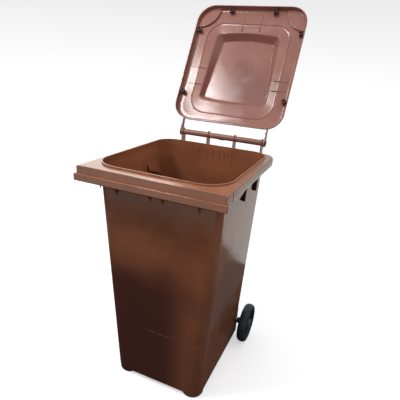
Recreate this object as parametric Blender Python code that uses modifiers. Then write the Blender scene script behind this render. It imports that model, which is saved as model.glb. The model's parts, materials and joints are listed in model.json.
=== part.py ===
"""Two-wheeled 240 litre wheelie bin, lid open.

Metres, +Z up. The floor is z = 0. The front, with the stepped lifting lip, faces -Y.
The lid's hinge, the handle bar and the wheels are at the back, towards +Y.
Distances along Y are drawn from a line through the tub; at the end the whole bin moves by
ORIGIN_SHIFT, which puts the origin on the floor under the middle of the bin's box.
"""

import math

import bmesh
import bpy
from mathutils import Matrix, Vector

# ---- driving dimensions ----------------------------------------------------------------

WALL = 0.004
GAP = 0.0003
CUT = 0.02
OVERLAP = 0.002
CHAMFER = 0.001
ORIGIN_SHIFT = -0.1757

# tub: half width, distance to the front wall and to the rear wall, corner radii
FLOOR_Z = 0.0184
FLOOR_ROUND = 0.006
BASE_HALF = 0.2105
BASE_FRONT = 0.217
BASE_REAR = 0.290
BASE_CORNER = 0.050
BASE_REAR_CORNER = 0.045
NECK_Z = 0.912
NECK_HALF = 0.2465
NECK_FRONT = 0.2455
NECK_REAR = 0.292
NECK_CORNER = 0.030
NECK_REAR_CORNER = 0.070
THROAT_Z = 0.948
THROAT_HALF = 0.2515
THROAT_FRONT = 0.2610
THROAT_REAR = 0.2915
THROAT_CORNER = 0.060

# mouth, with the raised bead round it
MOUTH_HALF = 0.2545
MOUTH_FRONT = 0.2762
MOUTH_REAR = 0.2851
MOUTH_FRONT_CORNER = 0.103
MOUTH_REAR_CORNER = 0.075
MOUTH_Z = 0.978
BEAD = 0.0042
BEAD_TOP = 1.000
BEAD_ROUND = 0.0012

# rim deck and its side skirt, which flares in to the tub
DECK_Z = 0.994
RIM_HALF = 0.2845
RIM_REAR = 0.309
RIM_CORNER = 0.059
RIM_FRONT = 0.268
RIM_FRONT_CORNER = 0.012
SKIRT_Z = 0.958
SKIRT_ROLL_HEIGHT = 0.003
SKIRT_ROLL_INSET = 0.002
FLARE_TUCK = 0.001
FLARE_CORNER = 0.066
DECK_SLOPE = ((0.013, 0.0), (0.008, 0.002), (0.005, 0.006), (0.001, 0.016))

# stepped lifting lip along the front
LIP_SKIN = 0.0045
LIP_ROUND = 0.003
UPPER_HALF = 0.2845
UPPER_FRONT = 0.321
UPPER_Z = 0.965
LOWER_HALF = 0.2915
LOWER_FRONT = 0.330
LOWER_Z = 0.939
LIP_END_DEPTH = 0.020
LIP_TUCK = 0.001
HOLLOW_BACK = 0.007
DECK_FRONT_START = 0.275
DECK_FRONT_END = 0.255

# comb webs under the lip: distance from the middle, depth where they leave the lip, lowest point
COMBS = ((0.025, 0.285, 0.884), (0.166, 0.285, 0.880), (0.240, 0.266, 0.894))
COMB_THICK = 0.004
COMB_TIP_Z = 0.952

# front feet
FOOT_RADIUS = 0.0485
FOOT_ROUND = 0.007
FOOT_ROUND_MIDDLE = 0.3
FOOT_TOP = 0.060

# side pockets under the rim: rear edge, front edge, heights at the rear and at the front
POCKETS = (
    {"rear": 0.191, "front": 0.098, "top_rear": 0.917, "top_front": 0.914,
     "low_rear": 0.852, "low_front": 0.886},
    {"rear": 0.033, "front": -0.051, "top_rear": 0.917, "top_front": 0.893,
     "low_rear": 0.853, "low_front": 0.888},
)
POCKET_DEPTH = 0.021
POCKET_SKIN = 0.003
POCKET_TOP_DEPTH = 0.001

# hinge line, handle bar and the webs that hold it
HINGE_Y = 0.369
HINGE_Z = 1.025
BAR_RADIUS = 0.0135
BAR_BORE = 0.0080
BAR_HALF = 0.2085
WEB_X = (0.0665, 0.200)
WEB_THICK = 0.005
WEB_HALF_DEPTH = 0.0195
WEB_FOOT_Z = 0.800
WEB_SHELF_Z = 0.925
WEB_SHELF_FALL = 0.006
WEB_HEEL = 0.005
WEB_TOE = 0.012
WEB_NECK = 0.020
WEB_TOP_STEPS = 12

# lid
LID_OPEN = 118.8
LID_SKIN = 0.0035
LID_HALF = 0.2735
LID_REAR = 0.0575
LID_FRONT = 0.6548
LID_CORNER = 0.085
LID_EDGE = -0.028
LID_DECK = 0.003
LID_DECK_INSET = 0.017
ARM_X = 0.2115
ARM_THICK = 0.005
ARM_TOP = 0.0005
ARM_STRAIGHT = 0.050
ARM_REACH = 0.0628
ARM_FALL = 0.0025
EYE_RADIUS = 0.0185
EYE_BORE = 0.0082
EYE_WRAP = 100
EYE_STEPS = 14

# roll of the lid's edge: height, inset from the widest line
LID_ROLL = ((LID_EDGE, 0.0), (-0.010, 0.001), (-0.002, 0.0035), (0.0015, 0.009))

# plans on the lid: half width, front and rear distance from the hinge line, corner radius
CREASE_PLAN = (0.212, 0.574, 0.106, 0.075)
FIELD_PLAN = (0.208, 0.570, 0.110, 0.072)
CROWN_FOOT_PLAN = (0.172, 0.521, 0.180, 0.030)
CROWN_SHOULDER_PLAN = (0.153, 0.500, 0.196, 0.024)
CROWN_TOP_PLAN = (0.147, 0.494, 0.202, 0.020)
CREASE_RISE = 0.001
FIELD_RISE = 0.003
CROWN_FOOT_RISE = 0.005
CROWN_SHOULDER = 0.004
CROWN_TOP = 0.041
CROWN_FOOT_BOW = 0.012
CROWN_SHOULDER_BOW = 0.010
CROWN_TOP_BOW = 0.009

# finger recesses in the lid's front corners
GRIP_RADIUS = 0.097
GRIP_DEPTH = 0.009
GRIP_IN_X = 0.008
GRIP_IN_Y = 0.010
GRIP_SLAB_CLEAR = 0.0017
GRIP_SLAB_DROP = 0.0012
GRIP_EDGE_CLEAR = 0.014

# rest buffers on the lid: distance from the middle, distance in front of the hinge line
BUFFER_PLACES = ((0.110, 0.636), (0.255, 0.530), (0.254, 0.200))
BUFFER_DROP = 0.006
BUFFER_RADIUS = 0.011
BUFFER_BORE = 0.0062
BUFFER_REST = 0.001
BOSS_RADIUS = 0.0125
BOSS_NECK_RADIUS = 0.0085
BOSS_TOP_Z = -0.003
PEG_RADIUS = 0.0058
PEG_LENGTH = 0.014

# hinge pins
PIN_RADIUS = 0.0076
PIN_INNER = 0.160
PIN_HEAD_RADIUS = 0.0125
PIN_HEAD_THICK = 0.003
PIN_TIP_TAPER = 0.002

# axle and wheels
AXLE_Y = 0.272
AXLE_Z = 0.100
AXLE_RADIUS = 0.010
AXLE_HALF = 0.2815
WHEEL_RADIUS = 0.100
TYRE_INNER = 0.0783
TYRE_WIDTH = 0.042
TYRE_SIDE_RADIUS = 0.088
TYRE_SHOULDER_RADIUS = 0.0955
TYRE_SHOULDER = 0.005
TYRE_CROWN_DROP = 0.0008
TYRE_CROWN_EDGE = 0.013
WHEEL_X = 0.262
HUB_RADIUS = 0.024
HUB_INNER_X = 0.2405
HUB_OUTER_X = 0.2745
BUSH_RADIUS = 0.0140
BUSH_RECESS = 0.001
RIM_RING_WIDTH = 0.034
RIM_RING_INNER = 0.072
DISC_WEB_OUTER = 0.001
DISC_WEB_INNER = 0.005
SPOKES = 6
SPOKE_HALF = 0.003
SPOKE_ROOT = 0.003
SPOKE_HEIGHT = 0.010
SPOKE_END = 0.0735
SLEEVE_RADIUS = 0.015
SLEEVE_INNER_X = 0.2148
WASHER_RADIUS = 0.017
WASHER_THICK = 0.0015
RING_RADIUS = 0.0135
RING_THICK = 0.0015
GROOVE_RADIUS = 0.0085
CAP_RADIUS = 0.023
CAP_SKIN = 0.0015
CAP_OUTER_X = 0.2870
CAP_FACE_RADIUS = 0.013
CAP_FACE_SKIN = 0.0025
CAP_DOME_RADIUS = 0.020
CAP_DOME_DROP = 0.0015
CAP_SHOULDER_DROP = 0.005

# recess across the back that the axle runs through
RECESS_FRONT = 0.236
RECESS_ROOF = 0.125
RECESS_TOP = 0.165
RECESS_HALF = 0.190
AXLE_WEB_X = 0.070
AXLE_WEB_THICK = 0.006
HOUSING_INSET = 0.002
HOUSING_REAR_INSET = 0.0015
HOUSING_LIFT = 0.001

# identification chip plug under the lip
CHIP_Y = -0.298
CHIP_RADIUS = 0.0145
CHIP_HEIGHT = 0.012
CHIP_SOCKET_WALL = 0.003
CHIP_SHORT = 0.003
CHIP_Z = DECK_Z - WALL + OVERLAP - CHIP_HEIGHT

CORNER_STEPS = 6
TURN_STEPS = 32
SMALL_STEPS = 24
PEG_STEPS = 16
WIDE_STEPS = 40
TOOL_LENGTH = 0.50


# ---- scene, materials and small helpers ------------------------------------------------

def clear_scene():
    for item in list(bpy.data.objects):
        bpy.data.objects.remove(item, do_unlink=True)


def new_collection(name):
    group = bpy.data.collections.new(name)
    bpy.context.scene.collection.children.link(group)
    return group


clear_scene()
BIN = new_collection("wheelie_bin")
CUTTERS = new_collection("cutters")


def material(name, colour, roughness, metallic=0.0):
    made = bpy.data.materials.new(name)
    made.use_nodes = True
    shader = made.node_tree.nodes["Principled BSDF"]
    shader.inputs["Base Color"].default_value = (*colour, 1.0)
    shader.inputs["Roughness"].default_value = roughness
    shader.inputs["Metallic"].default_value = metallic
    return made


BODY_PLASTIC = material("brown_body_plastic", (0.17, 0.075, 0.042), 0.32)
BAR_PLASTIC = material("brown_bar_plastic", (0.22, 0.105, 0.075), 0.40)
LID_PLASTIC = material("brown_lid_plastic", (0.25, 0.125, 0.095), 0.42)
BUFFER_PLASTIC = material("dark_buffer_plastic", (0.06, 0.03, 0.028), 0.5)
PIN_PLASTIC = material("dark_pin_plastic", (0.05, 0.03, 0.027), 0.45)
AXLE_STEEL = material("zinc_plated_steel", (0.55, 0.55, 0.53), 0.35, 1.0)
SLEEVE_PLASTIC = material("black_sleeve_plastic", (0.012, 0.012, 0.013), 0.5)
TYRE_RUBBER = material("black_tyre_rubber", (0.015, 0.02, 0.025), 0.6)
DISC_PLASTIC = material("black_wheel_plastic", (0.02, 0.023, 0.026), 0.42)
BUSH_NYLON = material("natural_bush_nylon", (0.55, 0.53, 0.47), 0.45)
SPRING_STEEL = material("spring_steel", (0.30, 0.30, 0.31), 0.3, 1.0)
CAP_PLASTIC = material("grey_cap_plastic", (0.045, 0.05, 0.055), 0.38)
CHIP_PLASTIC = material("black_chip_plastic", (0.01, 0.01, 0.011), 0.45)


def place(name, mesh, finish=None, smooth_angle=40.0):
    """Wrap a mesh in an object: a part when it has a finish, otherwise a hidden tool."""
    item = bpy.data.objects.new(name, mesh)
    if finish is None:
        CUTTERS.objects.link(item)
        item.hide_render = True
        item.display_type = "WIRE"
        return item
    BIN.objects.link(item)
    mesh.materials.append(finish)
    mesh.shade_smooth()
    mesh.set_sharp_from_angle(angle=math.radians(smooth_angle))
    return item


def mesh_from(builder, name):
    bmesh.ops.recalc_face_normals(builder, faces=builder.faces)
    mesh = bpy.data.meshes.new(name)
    builder.to_mesh(mesh)
    builder.free()
    return mesh


def box(name, low, high):
    builder = bmesh.new()
    bmesh.ops.create_cube(builder, size=1.0)
    size = Vector(high) - Vector(low)
    centre = (Vector(high) + Vector(low)) / 2
    bmesh.ops.scale(builder, vec=size, verts=builder.verts)
    bmesh.ops.translate(builder, vec=centre, verts=builder.verts)
    return place(name, mesh_from(builder, name))


def cross_rod(name, radius, y, z):
    """Round tool along X, longer than the bin is wide."""
    builder = bmesh.new()
    bmesh.ops.create_cone(
        builder, cap_ends=True, segments=TURN_STEPS, radius1=radius, radius2=radius, depth=TOOL_LENGTH)
    bmesh.ops.rotate(builder, verts=builder.verts, matrix=Matrix.Rotation(math.radians(90), 3, "Y"))
    bmesh.ops.translate(builder, verts=builder.verts, vec=(0.0, y, z))
    return place(name, mesh_from(builder, name))


def turned(name, profile, finish, closed=False, steps=TURN_STEPS):
    """Turn a (radius, height) profile round local Z with a Screw modifier."""
    builder = bmesh.new()
    corners = [builder.verts.new((radius, 0.0, height)) for radius, height in profile]
    for first, second in zip(corners, corners[1:]):
        builder.edges.new((first, second))
    if closed:
        builder.edges.new((corners[-1], corners[0]))
    mesh = bpy.data.meshes.new(name)
    builder.to_mesh(mesh)
    builder.free()
    item = place(name, mesh, finish)
    screw = item.modifiers.new("turn", "SCREW")
    screw.axis = "Z"
    screw.angle = math.tau
    screw.steps = steps
    screw.render_steps = steps
    screw.use_merge_vertices = True
    screw.merge_threshold = 0.00001
    screw.use_smooth_shade = True
    return item


def tube_profile(outer, inner, start, end):
    return [(outer, end), (outer, start), (inner, start), (inner, end)]


def plate(name, points, centre_x, thickness):
    """Flat outline in the YZ plane, given thickness along X."""
    builder = bmesh.new()
    face = builder.faces.new([builder.verts.new((centre_x - thickness / 2, y, z)) for y, z in points])
    raised = bmesh.ops.extrude_face_region(builder, geom=[face])
    moved = [item for item in raised["geom"] if isinstance(item, bmesh.types.BMVert)]
    bmesh.ops.translate(builder, verts=moved, vec=(thickness, 0.0, 0.0))
    return place(name, mesh_from(builder, name))


def combine(item, tool, operation):
    """Boolean tool on item; the tool's own place is given in the item's frame."""
    tool.parent = item
    change = item.modifiers.new(tool.name, "BOOLEAN")
    change.operation = operation
    change.solver = "EXACT"
    change.object = tool


def cut(item, tool):
    combine(item, tool, "DIFFERENCE")


def join(item, tool):
    combine(item, tool, "UNION")


def arc(centre, radius, start, end, steps):
    """Points on an arc between two angles in degrees, both ends included."""
    turns = [math.radians(start + (end - start) * step / steps) for step in range(steps + 1)]
    return [(centre[0] + radius * math.cos(turn), centre[1] + radius * math.sin(turn)) for turn in turns]


def outline(half, front, rear, front_corner, rear_corner, bow=0.0):
    """Rounded rectangle seen from above, anticlockwise, with gently bowed front and rear edges."""
    points = []
    points += arc((half - rear_corner, rear - rear_corner), rear_corner, 0, 90, CORNER_STEPS)
    points += [(0.0, rear + bow)]
    points += arc((rear_corner - half, rear - rear_corner), rear_corner, 90, 180, CORNER_STEPS)
    points += arc((front_corner - half, front_corner - front), front_corner, 180, 270, CORNER_STEPS)
    points += [(0.0, -front - bow)]
    points += arc((half - front_corner, front_corner - front), front_corner, 270, 360, CORNER_STEPS)
    return points


def loft(name, levels, finish=None, open_bottom=False):
    """Skin through (height, outline) levels, bottom to top, all with the same number of points."""
    builder = bmesh.new()
    rings = [[builder.verts.new((x, y, height)) for x, y in points] for height, points in levels]
    for lower, upper in zip(rings, rings[1:]):
        for index in range(len(lower)):
            after = (index + 1) % len(lower)
            builder.faces.new((lower[index], lower[after], upper[after], upper[index]))
    builder.faces.new(rings[-1])
    if not open_bottom:
        builder.faces.new(list(reversed(rings[0])))
    mesh = bpy.data.meshes.new(name)
    if not open_bottom:
        bmesh.ops.recalc_face_normals(builder, faces=builder.faces)
    builder.to_mesh(mesh)
    builder.free()
    return place(name, mesh, finish)


def both_sides(distances):
    return [side * distance for distance in distances for side in (-1, 1)]


# ---- body ------------------------------------------------------------------------------

def tub_levels(inset, floor, top):
    """Tub sections; inset is how far inside the outer skin they run."""
    def level(height, half, front, rear, front_corner, rear_corner, extra=0.0):
        in_by = inset + extra
        return height, outline(half - in_by, front - in_by, rear - in_by,
                               front_corner - in_by / 2, rear_corner - in_by / 2)

    base = (BASE_HALF, BASE_FRONT, BASE_REAR, BASE_CORNER, BASE_REAR_CORNER)
    neck = (NECK_HALF, NECK_FRONT, NECK_REAR, NECK_CORNER, NECK_REAR_CORNER)
    throat = (THROAT_HALF, THROAT_FRONT, THROAT_REAR, THROAT_CORNER, NECK_REAR_CORNER)
    mouth = (MOUTH_HALF + BEAD, MOUTH_FRONT + BEAD, MOUTH_REAR + BEAD,
             MOUTH_FRONT_CORNER + BEAD / 2, MOUTH_REAR_CORNER + BEAD / 2)
    return [
        level(floor, *base, extra=FLOOR_ROUND),
        level(floor + FLOOR_ROUND, *base),
        level(NECK_Z, *neck),
        level(THROAT_Z, *throat),
        level(MOUTH_Z, *mouth),
        level(top - BEAD_ROUND, *mouth),
        level(top, *mouth, extra=BEAD_ROUND if inset == 0 else 0.0),
    ]


def rim_levels():
    """Rim block: the flare under the skirt, the skirt and the sloping side deck."""
    def level(height, in_by):
        return height, outline(RIM_HALF - in_by, RIM_FRONT, RIM_REAR - in_by,
                               RIM_FRONT_CORNER, RIM_CORNER - in_by / 2)

    return [
        (NECK_Z, outline(NECK_HALF - FLARE_TUCK, RIM_FRONT - RIM_FRONT_CORNER, NECK_REAR - FLARE_TUCK,
                         RIM_FRONT_CORNER, FLARE_CORNER)),
        level(SKIRT_Z - SKIRT_ROLL_HEIGHT, SKIRT_ROLL_INSET),
        level(SKIRT_Z, 0.0),
        *[level(DECK_Z - below, in_by) for below, in_by in DECK_SLOPE],
    ]


def lip_plan(inset, back):
    """Plan of the lower step: its ends stand out past the upper step over a short depth only."""
    end = LOWER_HALF - inset
    side = UPPER_HALF - LIP_TUCK - inset
    front = inset - LOWER_FRONT
    step = LIP_END_DEPTH - LOWER_FRONT - inset
    return [(-end, front), (end, front), (end, step), (side, step), (side, back), (-side, back),
            (-side, step), (-end, step)]


def round_edges(item, radius):
    bevel = item.modifiers.new("round", "BEVEL")
    bevel.width = radius
    bevel.segments = 2
    return item


def add_lip(body):
    join(body, box("deck_front", (LIP_TUCK - RIM_HALF, -DECK_FRONT_START, MOUTH_Z - OVERLAP),
                   (RIM_HALF - LIP_TUCK, -DECK_FRONT_END, DECK_Z - LIP_TUCK / 2)))
    upper = box("lip_upper", (-UPPER_HALF, -UPPER_FRONT, UPPER_Z - WALL),
                (UPPER_HALF, 2 * OVERLAP - RIM_FRONT, DECK_Z))
    join(body, round_edges(upper, LIP_ROUND))
    plan = lip_plan(0.0, OVERLAP - RIM_FRONT)
    join(body, round_edges(loft("lip_lower", [(LOWER_Z, plan), (UPPER_Z, plan)]), LIP_ROUND))
    cut(body, box("lip_upper_hollow", (LIP_SKIN - UPPER_HALF, LIP_SKIN - UPPER_FRONT, UPPER_Z - CUT),
                  (UPPER_HALF - LIP_SKIN, -MOUTH_FRONT - HOLLOW_BACK, DECK_Z - WALL)))
    plan = lip_plan(LIP_SKIN, -RIM_FRONT - WALL)
    cut(body, loft("lip_lower_hollow", [(LOWER_Z - CUT, plan), (UPPER_Z - WALL, plan)]))


def add_comb(body):
    """Upright webs between the lip and the front wall, which a lifter's comb bears on."""
    front = LIP_SKIN / 2 - LOWER_FRONT
    wall = -NECK_FRONT + WALL / 2
    for x, knee, lowest in COMBS:
        shape = [
            (front, COMB_TIP_Z), (-knee, LOWER_Z + LIP_TUCK), (wall, lowest), (wall, DECK_Z - WALL / 2),
            (LIP_SKIN / 2 - UPPER_FRONT, DECK_Z - WALL / 2), (LIP_SKIN / 2 - UPPER_FRONT, UPPER_Z - WALL / 2),
            (front, UPPER_Z - WALL / 2),
        ]
        for side in (-1, 1):
            join(body, plate(f"comb_web_{side}_{x}", shape, side * x, COMB_THICK))


def add_chip_socket(body):
    inner = CHIP_RADIUS + GAP
    ring = turned("chip_socket", tube_profile(inner + CHIP_SOCKET_WALL, inner, 0.0, CHIP_HEIGHT),
                  None, closed=True, steps=SMALL_STEPS)
    ring.location = (0.0, CHIP_Y, CHIP_Z)
    ring.rotation_euler = (0.0, 0.0, math.pi / SMALL_STEPS)
    join(body, ring)


def add_feet(body):
    middle = FOOT_ROUND_MIDDLE * FOOT_ROUND
    for side in (-1, 1):
        foot = turned(f"foot_{side}", [
            (0.0, FOOT_TOP), (FOOT_RADIUS, FOOT_TOP), (FOOT_RADIUS, FOOT_ROUND),
            (FOOT_RADIUS - middle, middle), (FOOT_RADIUS - FOOT_ROUND, 0.0), (0.0, 0.0)], None)
        foot.location = (side * (BASE_HALF - BASE_CORNER), BASE_CORNER - BASE_FRONT, 0.0)
        join(body, foot)


def add_handle_webs(body):
    rear_face = HINGE_Y + WEB_HALF_DEPTH
    front_face = HINGE_Y - WEB_HALF_DEPTH
    wall = NECK_REAR - WALL / 2
    shape = [
        (wall, WEB_FOOT_Z), (rear_face, WEB_SHELF_Z + WEB_HEEL),
        *arc((HINGE_Y, HINGE_Z), WEB_HALF_DEPTH, 0, 180, WEB_TOP_STEPS),
        (front_face, WEB_SHELF_Z + WEB_NECK), (front_face - WEB_TOE, WEB_SHELF_Z),
        (wall, WEB_SHELF_Z - WEB_SHELF_FALL),
    ]
    for index, x in enumerate(both_sides(WEB_X)):
        join(body, plate(f"handle_web_{index}", shape, x, WEB_THICK))
    cut(body, cross_rod("handle_bore", BAR_RADIUS + GAP, HINGE_Y, HINGE_Z))


def pocket_shape(pocket, grow):
    return [
        (pocket["front"] - grow, pocket["low_front"] - grow),
        (pocket["rear"] + grow, pocket["low_rear"] - grow),
        (pocket["rear"] + grow, pocket["top_rear"] + grow),
        (pocket["front"] - grow, pocket["top_front"] + grow),
    ]


def pocket_wedge(name, pocket, grow, side, outer_x):
    """Pocket solid between a plane at outer_x and a back that leans further in towards the bottom."""
    top = pocket["top_rear"]
    slope = (POCKET_DEPTH - POCKET_TOP_DEPTH) / (top - pocket["low_rear"])
    builder = bmesh.new()
    outer = []
    inner = []
    for y, z in pocket_shape(pocket, grow):
        depth = POCKET_TOP_DEPTH + slope * (top - z) + grow
        outer.append(builder.verts.new((side * outer_x, y, z)))
        inner.append(builder.verts.new((side * (NECK_HALF - depth), y, z)))
    for index in range(len(outer)):
        after = (index + 1) % len(outer)
        builder.faces.new((outer[index], outer[after], inner[after], inner[index]))
    builder.faces.new(list(reversed(outer)))
    builder.faces.new(inner)
    return place(name, mesh_from(builder, name))


def add_pockets(body):
    """Grip pockets in both side walls; each one has a thin shell that bulges into the tub."""
    for side in (-1, 1):
        for index, pocket in enumerate(POCKETS):
            name = f"pocket_{side}_{index}"
            join(body, pocket_wedge(f"{name}_shell", pocket, POCKET_SKIN, side, NECK_HALF - POCKET_SKIN))
            cut(body, pocket_wedge(f"{name}_hollow", pocket, 0.0, side, NECK_HALF + CUT))


def axle_housing_shape(grow, rear, low):
    return [
        (RECESS_FRONT - grow, low), (rear, low), (rear, RECESS_TOP + grow),
        (BASE_REAR - HOUSING_INSET, RECESS_TOP + grow), (RECESS_FRONT - grow, RECESS_ROOF + grow),
    ]


def add_axle_housing(body):
    solid = axle_housing_shape(WALL, BASE_REAR - HOUSING_REAR_INSET, FLOOR_Z + HOUSING_LIFT)
    join(body, plate("axle_housing", solid, 0.0, 2 * (BASE_HALF - HOUSING_INSET)))
    inner = AXLE_WEB_X - AXLE_WEB_THICK / 2
    outer = AXLE_WEB_X + AXLE_WEB_THICK / 2
    bays = ((-RECESS_HALF, -outer), (-inner, inner), (outer, RECESS_HALF))
    open_shape = axle_housing_shape(0.0, BASE_REAR + CUT, -CUT)
    for index, (start, end) in enumerate(bays):
        cut(body, plate(f"axle_bay_{index}", open_shape, (start + end) / 2, end - start))
    cut(body, cross_rod("axle_bore", AXLE_RADIUS + GAP, AXLE_Y, AXLE_Z))


def make_body():
    body = loft("bin_body", tub_levels(0.0, FLOOR_Z, BEAD_TOP), BODY_PLASTIC)
    join(body, loft("rim_block", rim_levels()))
    add_feet(body)
    add_lip(body)
    add_comb(body)
    add_chip_socket(body)
    cut(body, loft("cavity", tub_levels(WALL, FLOOR_Z + WALL + OVERLAP, BEAD_TOP + CUT)))
    add_handle_webs(body)
    add_pockets(body)
    add_axle_housing(body)


# ---- handle bar and hinge pins -----------------------------------------------------------

def make_handle_bar():
    bar = turned("handle_bar", tube_profile(BAR_RADIUS, BAR_BORE, -BAR_HALF, BAR_HALF),
                 BAR_PLASTIC, closed=True, steps=SMALL_STEPS)
    bar.rotation_euler = (0.0, math.radians(90), 0.0)
    bar.location = (0.0, HINGE_Y, HINGE_Z)


def make_hinge_pins():
    head_start = ARM_X + ARM_THICK / 2 + GAP
    head_end = head_start + PIN_HEAD_THICK
    for side, name in ((-1, "hinge_pin_left"), (1, "hinge_pin_right")):
        pin = turned(name, [
            (0.0, head_end), (PIN_HEAD_RADIUS - CHAMFER, head_end), (PIN_HEAD_RADIUS, head_end - CHAMFER),
            (PIN_HEAD_RADIUS, head_start), (PIN_RADIUS, head_start),
            (PIN_RADIUS, PIN_INNER + PIN_TIP_TAPER), (PIN_RADIUS - PIN_TIP_TAPER, PIN_INNER),
            (0.0, PIN_INNER)], PIN_PLASTIC, steps=SMALL_STEPS)
        pin.rotation_euler = (0.0, math.radians(90 * side), 0.0)
        pin.location = (0.0, HINGE_Y, HINGE_Z)


# ---- lid, drawn closed round its hinge line, then swung open -----------------------------

def lid_outline(half, front, rear, corner, bow=0.0):
    """Lid outline; front and rear are distances in front of the hinge line."""
    return outline(half, front, -rear, corner, corner, bow)


def edge_level(height, in_by, clear=0.0):
    """Level in the roll of the lid's edge, drawn in by clear all round."""
    inset = in_by + clear
    return height, lid_outline(LID_HALF - inset, LID_FRONT - inset, LID_REAR + inset, LID_CORNER - inset)


def lid_levels():
    return [
        *[edge_level(height, in_by) for height, in_by in LID_ROLL],
        edge_level(LID_DECK, LID_DECK_INSET),
        (LID_DECK + CREASE_RISE, lid_outline(*CREASE_PLAN)),
        (LID_DECK + FIELD_RISE, lid_outline(*FIELD_PLAN)),
        (LID_DECK + CROWN_FOOT_RISE, lid_outline(*CROWN_FOOT_PLAN, bow=CROWN_FOOT_BOW)),
        (CROWN_TOP - CROWN_SHOULDER, lid_outline(*CROWN_SHOULDER_PLAN, bow=CROWN_SHOULDER_BOW)),
        (CROWN_TOP, lid_outline(*CROWN_TOP_PLAN, bow=CROWN_TOP_BOW)),
    ]


def add_arms(lid):
    shape = [
        *arc((0.0, 0.0), EYE_RADIUS, -EYE_WRAP, EYE_WRAP, EYE_STEPS),
        (-ARM_STRAIGHT, ARM_TOP), (-ARM_REACH, ARM_TOP - ARM_FALL), (-ARM_REACH, -EYE_RADIUS),
        (-ARM_STRAIGHT, -EYE_RADIUS),
    ]
    for side in (-1, 1):
        join(lid, plate(f"lid_arm_{side}", shape, side * ARM_X, ARM_THICK))
    cut(lid, cross_rod("eye_bore", EYE_BORE, 0.0, 0.0))


def corner_disc(name, side, radius, low, high):
    """Disc centred near one front corner of the lid."""
    disc = bmesh.new()
    bmesh.ops.create_cone(
        disc, cap_ends=True, segments=WIDE_STEPS, radius1=radius, radius2=radius, depth=high - low)
    centre = (side * (LID_HALF - GRIP_IN_X), GRIP_IN_Y - LID_FRONT, (low + high) / 2)
    bmesh.ops.translate(disc, verts=disc.verts, vec=centre)
    return place(name, mesh_from(disc, name))


def grip_limit(name, clear, drop, top):
    """The lid's outer form, drawn in by clear and lowered by drop, closed below."""
    roll = (*LID_ROLL, (top, LID_DECK_INSET))
    return loft(name, [edge_level(height - drop, in_by, clear) for height, in_by in roll])


def add_grips(lid):
    """Finger recesses pressed into the two front corners."""
    low = LID_DECK - LID_SKIN - GRIP_DEPTH
    for side in (-1, 1):
        slab = corner_disc(f"grip_slab_{side}", side, GRIP_RADIUS, low, LID_DECK)
        limit = grip_limit(f"grip_slab_limit_{side}", GRIP_SLAB_CLEAR, GRIP_SLAB_DROP, LID_DECK)
        combine(slab, limit, "INTERSECT")
        join(lid, slab)
    for side in (-1, 1):
        recess = corner_disc(
            f"grip_recess_{side}", side, GRIP_RADIUS - LID_SKIN, low + LID_SKIN, LID_DECK + CUT)
        limit = grip_limit(f"grip_recess_limit_{side}", GRIP_EDGE_CLEAR, 0.0, LID_DECK + 2 * CUT)
        combine(recess, limit, "INTERSECT")
        cut(lid, recess)


def buffer_top():
    return LID_DECK - LID_SKIN - BUFFER_DROP


def add_pegs(lid):
    """Bosses under the lid, each with a peg that a buffer is pushed onto."""
    root = LID_DECK - LID_SKIN / 2
    shoulder = buffer_top() + GAP
    for index, (x, reach) in enumerate(BUFFER_PLACES):
        for side in (-1, 1):
            peg = turned(f"peg_{index}_{side}", [
                (0.0, root), (BOSS_NECK_RADIUS, root), (BOSS_RADIUS, BOSS_TOP_Z), (BOSS_RADIUS, shoulder),
                (PEG_RADIUS, shoulder), (PEG_RADIUS, -PEG_LENGTH), (0.0, -PEG_LENGTH)],
                None, steps=PEG_STEPS)
            peg.location = (side * x, -reach, 0.0)
            join(lid, peg)


def make_lid(hinge):
    lid = loft("lid", lid_levels(), LID_PLASTIC, open_bottom=True)
    skin = lid.modifiers.new("skin", "SOLIDIFY")
    skin.thickness = LID_SKIN
    skin.offset = -1.0
    skin.use_even_offset = True
    add_arms(lid)
    add_grips(lid)
    add_pegs(lid)
    lid.parent = hinge


def make_buffers(hinge):
    """Hollow rest buffers pushed onto the lid's pegs; shut, they sit on the mouth's bead."""
    tip = BEAD_TOP + BUFFER_REST - HINGE_Z
    profile = tube_profile(BUFFER_RADIUS, BUFFER_BORE, tip, buffer_top())
    number = 0
    for x, reach in BUFFER_PLACES:
        for side in (-1, 1):
            number += 1
            buffer = turned(f"lid_buffer_{number}", profile, BUFFER_PLASTIC, closed=True, steps=SMALL_STEPS)
            buffer.location = (side * x, -reach, 0.0)
            buffer.parent = hinge


# ---- axle and wheels -----------------------------------------------------------------------

def make_axle():
    groove_in = HUB_OUTER_X + GAP + WASHER_THICK + GAP
    groove_out = groove_in + RING_THICK + 2 * GAP
    half = [
        (0.0, AXLE_HALF), (AXLE_RADIUS - CHAMFER, AXLE_HALF), (AXLE_RADIUS, AXLE_HALF - CHAMFER),
        (AXLE_RADIUS, groove_out), (GROOVE_RADIUS, groove_out), (GROOVE_RADIUS, groove_in),
        (AXLE_RADIUS, groove_in),
    ]
    other = [(radius, -height) for radius, height in reversed(half)]
    axle = turned("axle", half + other, AXLE_STEEL, steps=SMALL_STEPS)
    axle.rotation_euler = (0.0, math.radians(90), 0.0)
    axle.location = (0.0, AXLE_Y, AXLE_Z)


def on_axle(item, side):
    """Stand a turned piece on the axle, its local +Z pointing out of the bin."""
    item.rotation_euler = (0.0, math.radians(90 * side), 0.0)
    item.location = (0.0, AXLE_Y, AXLE_Z)
    return item


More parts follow.
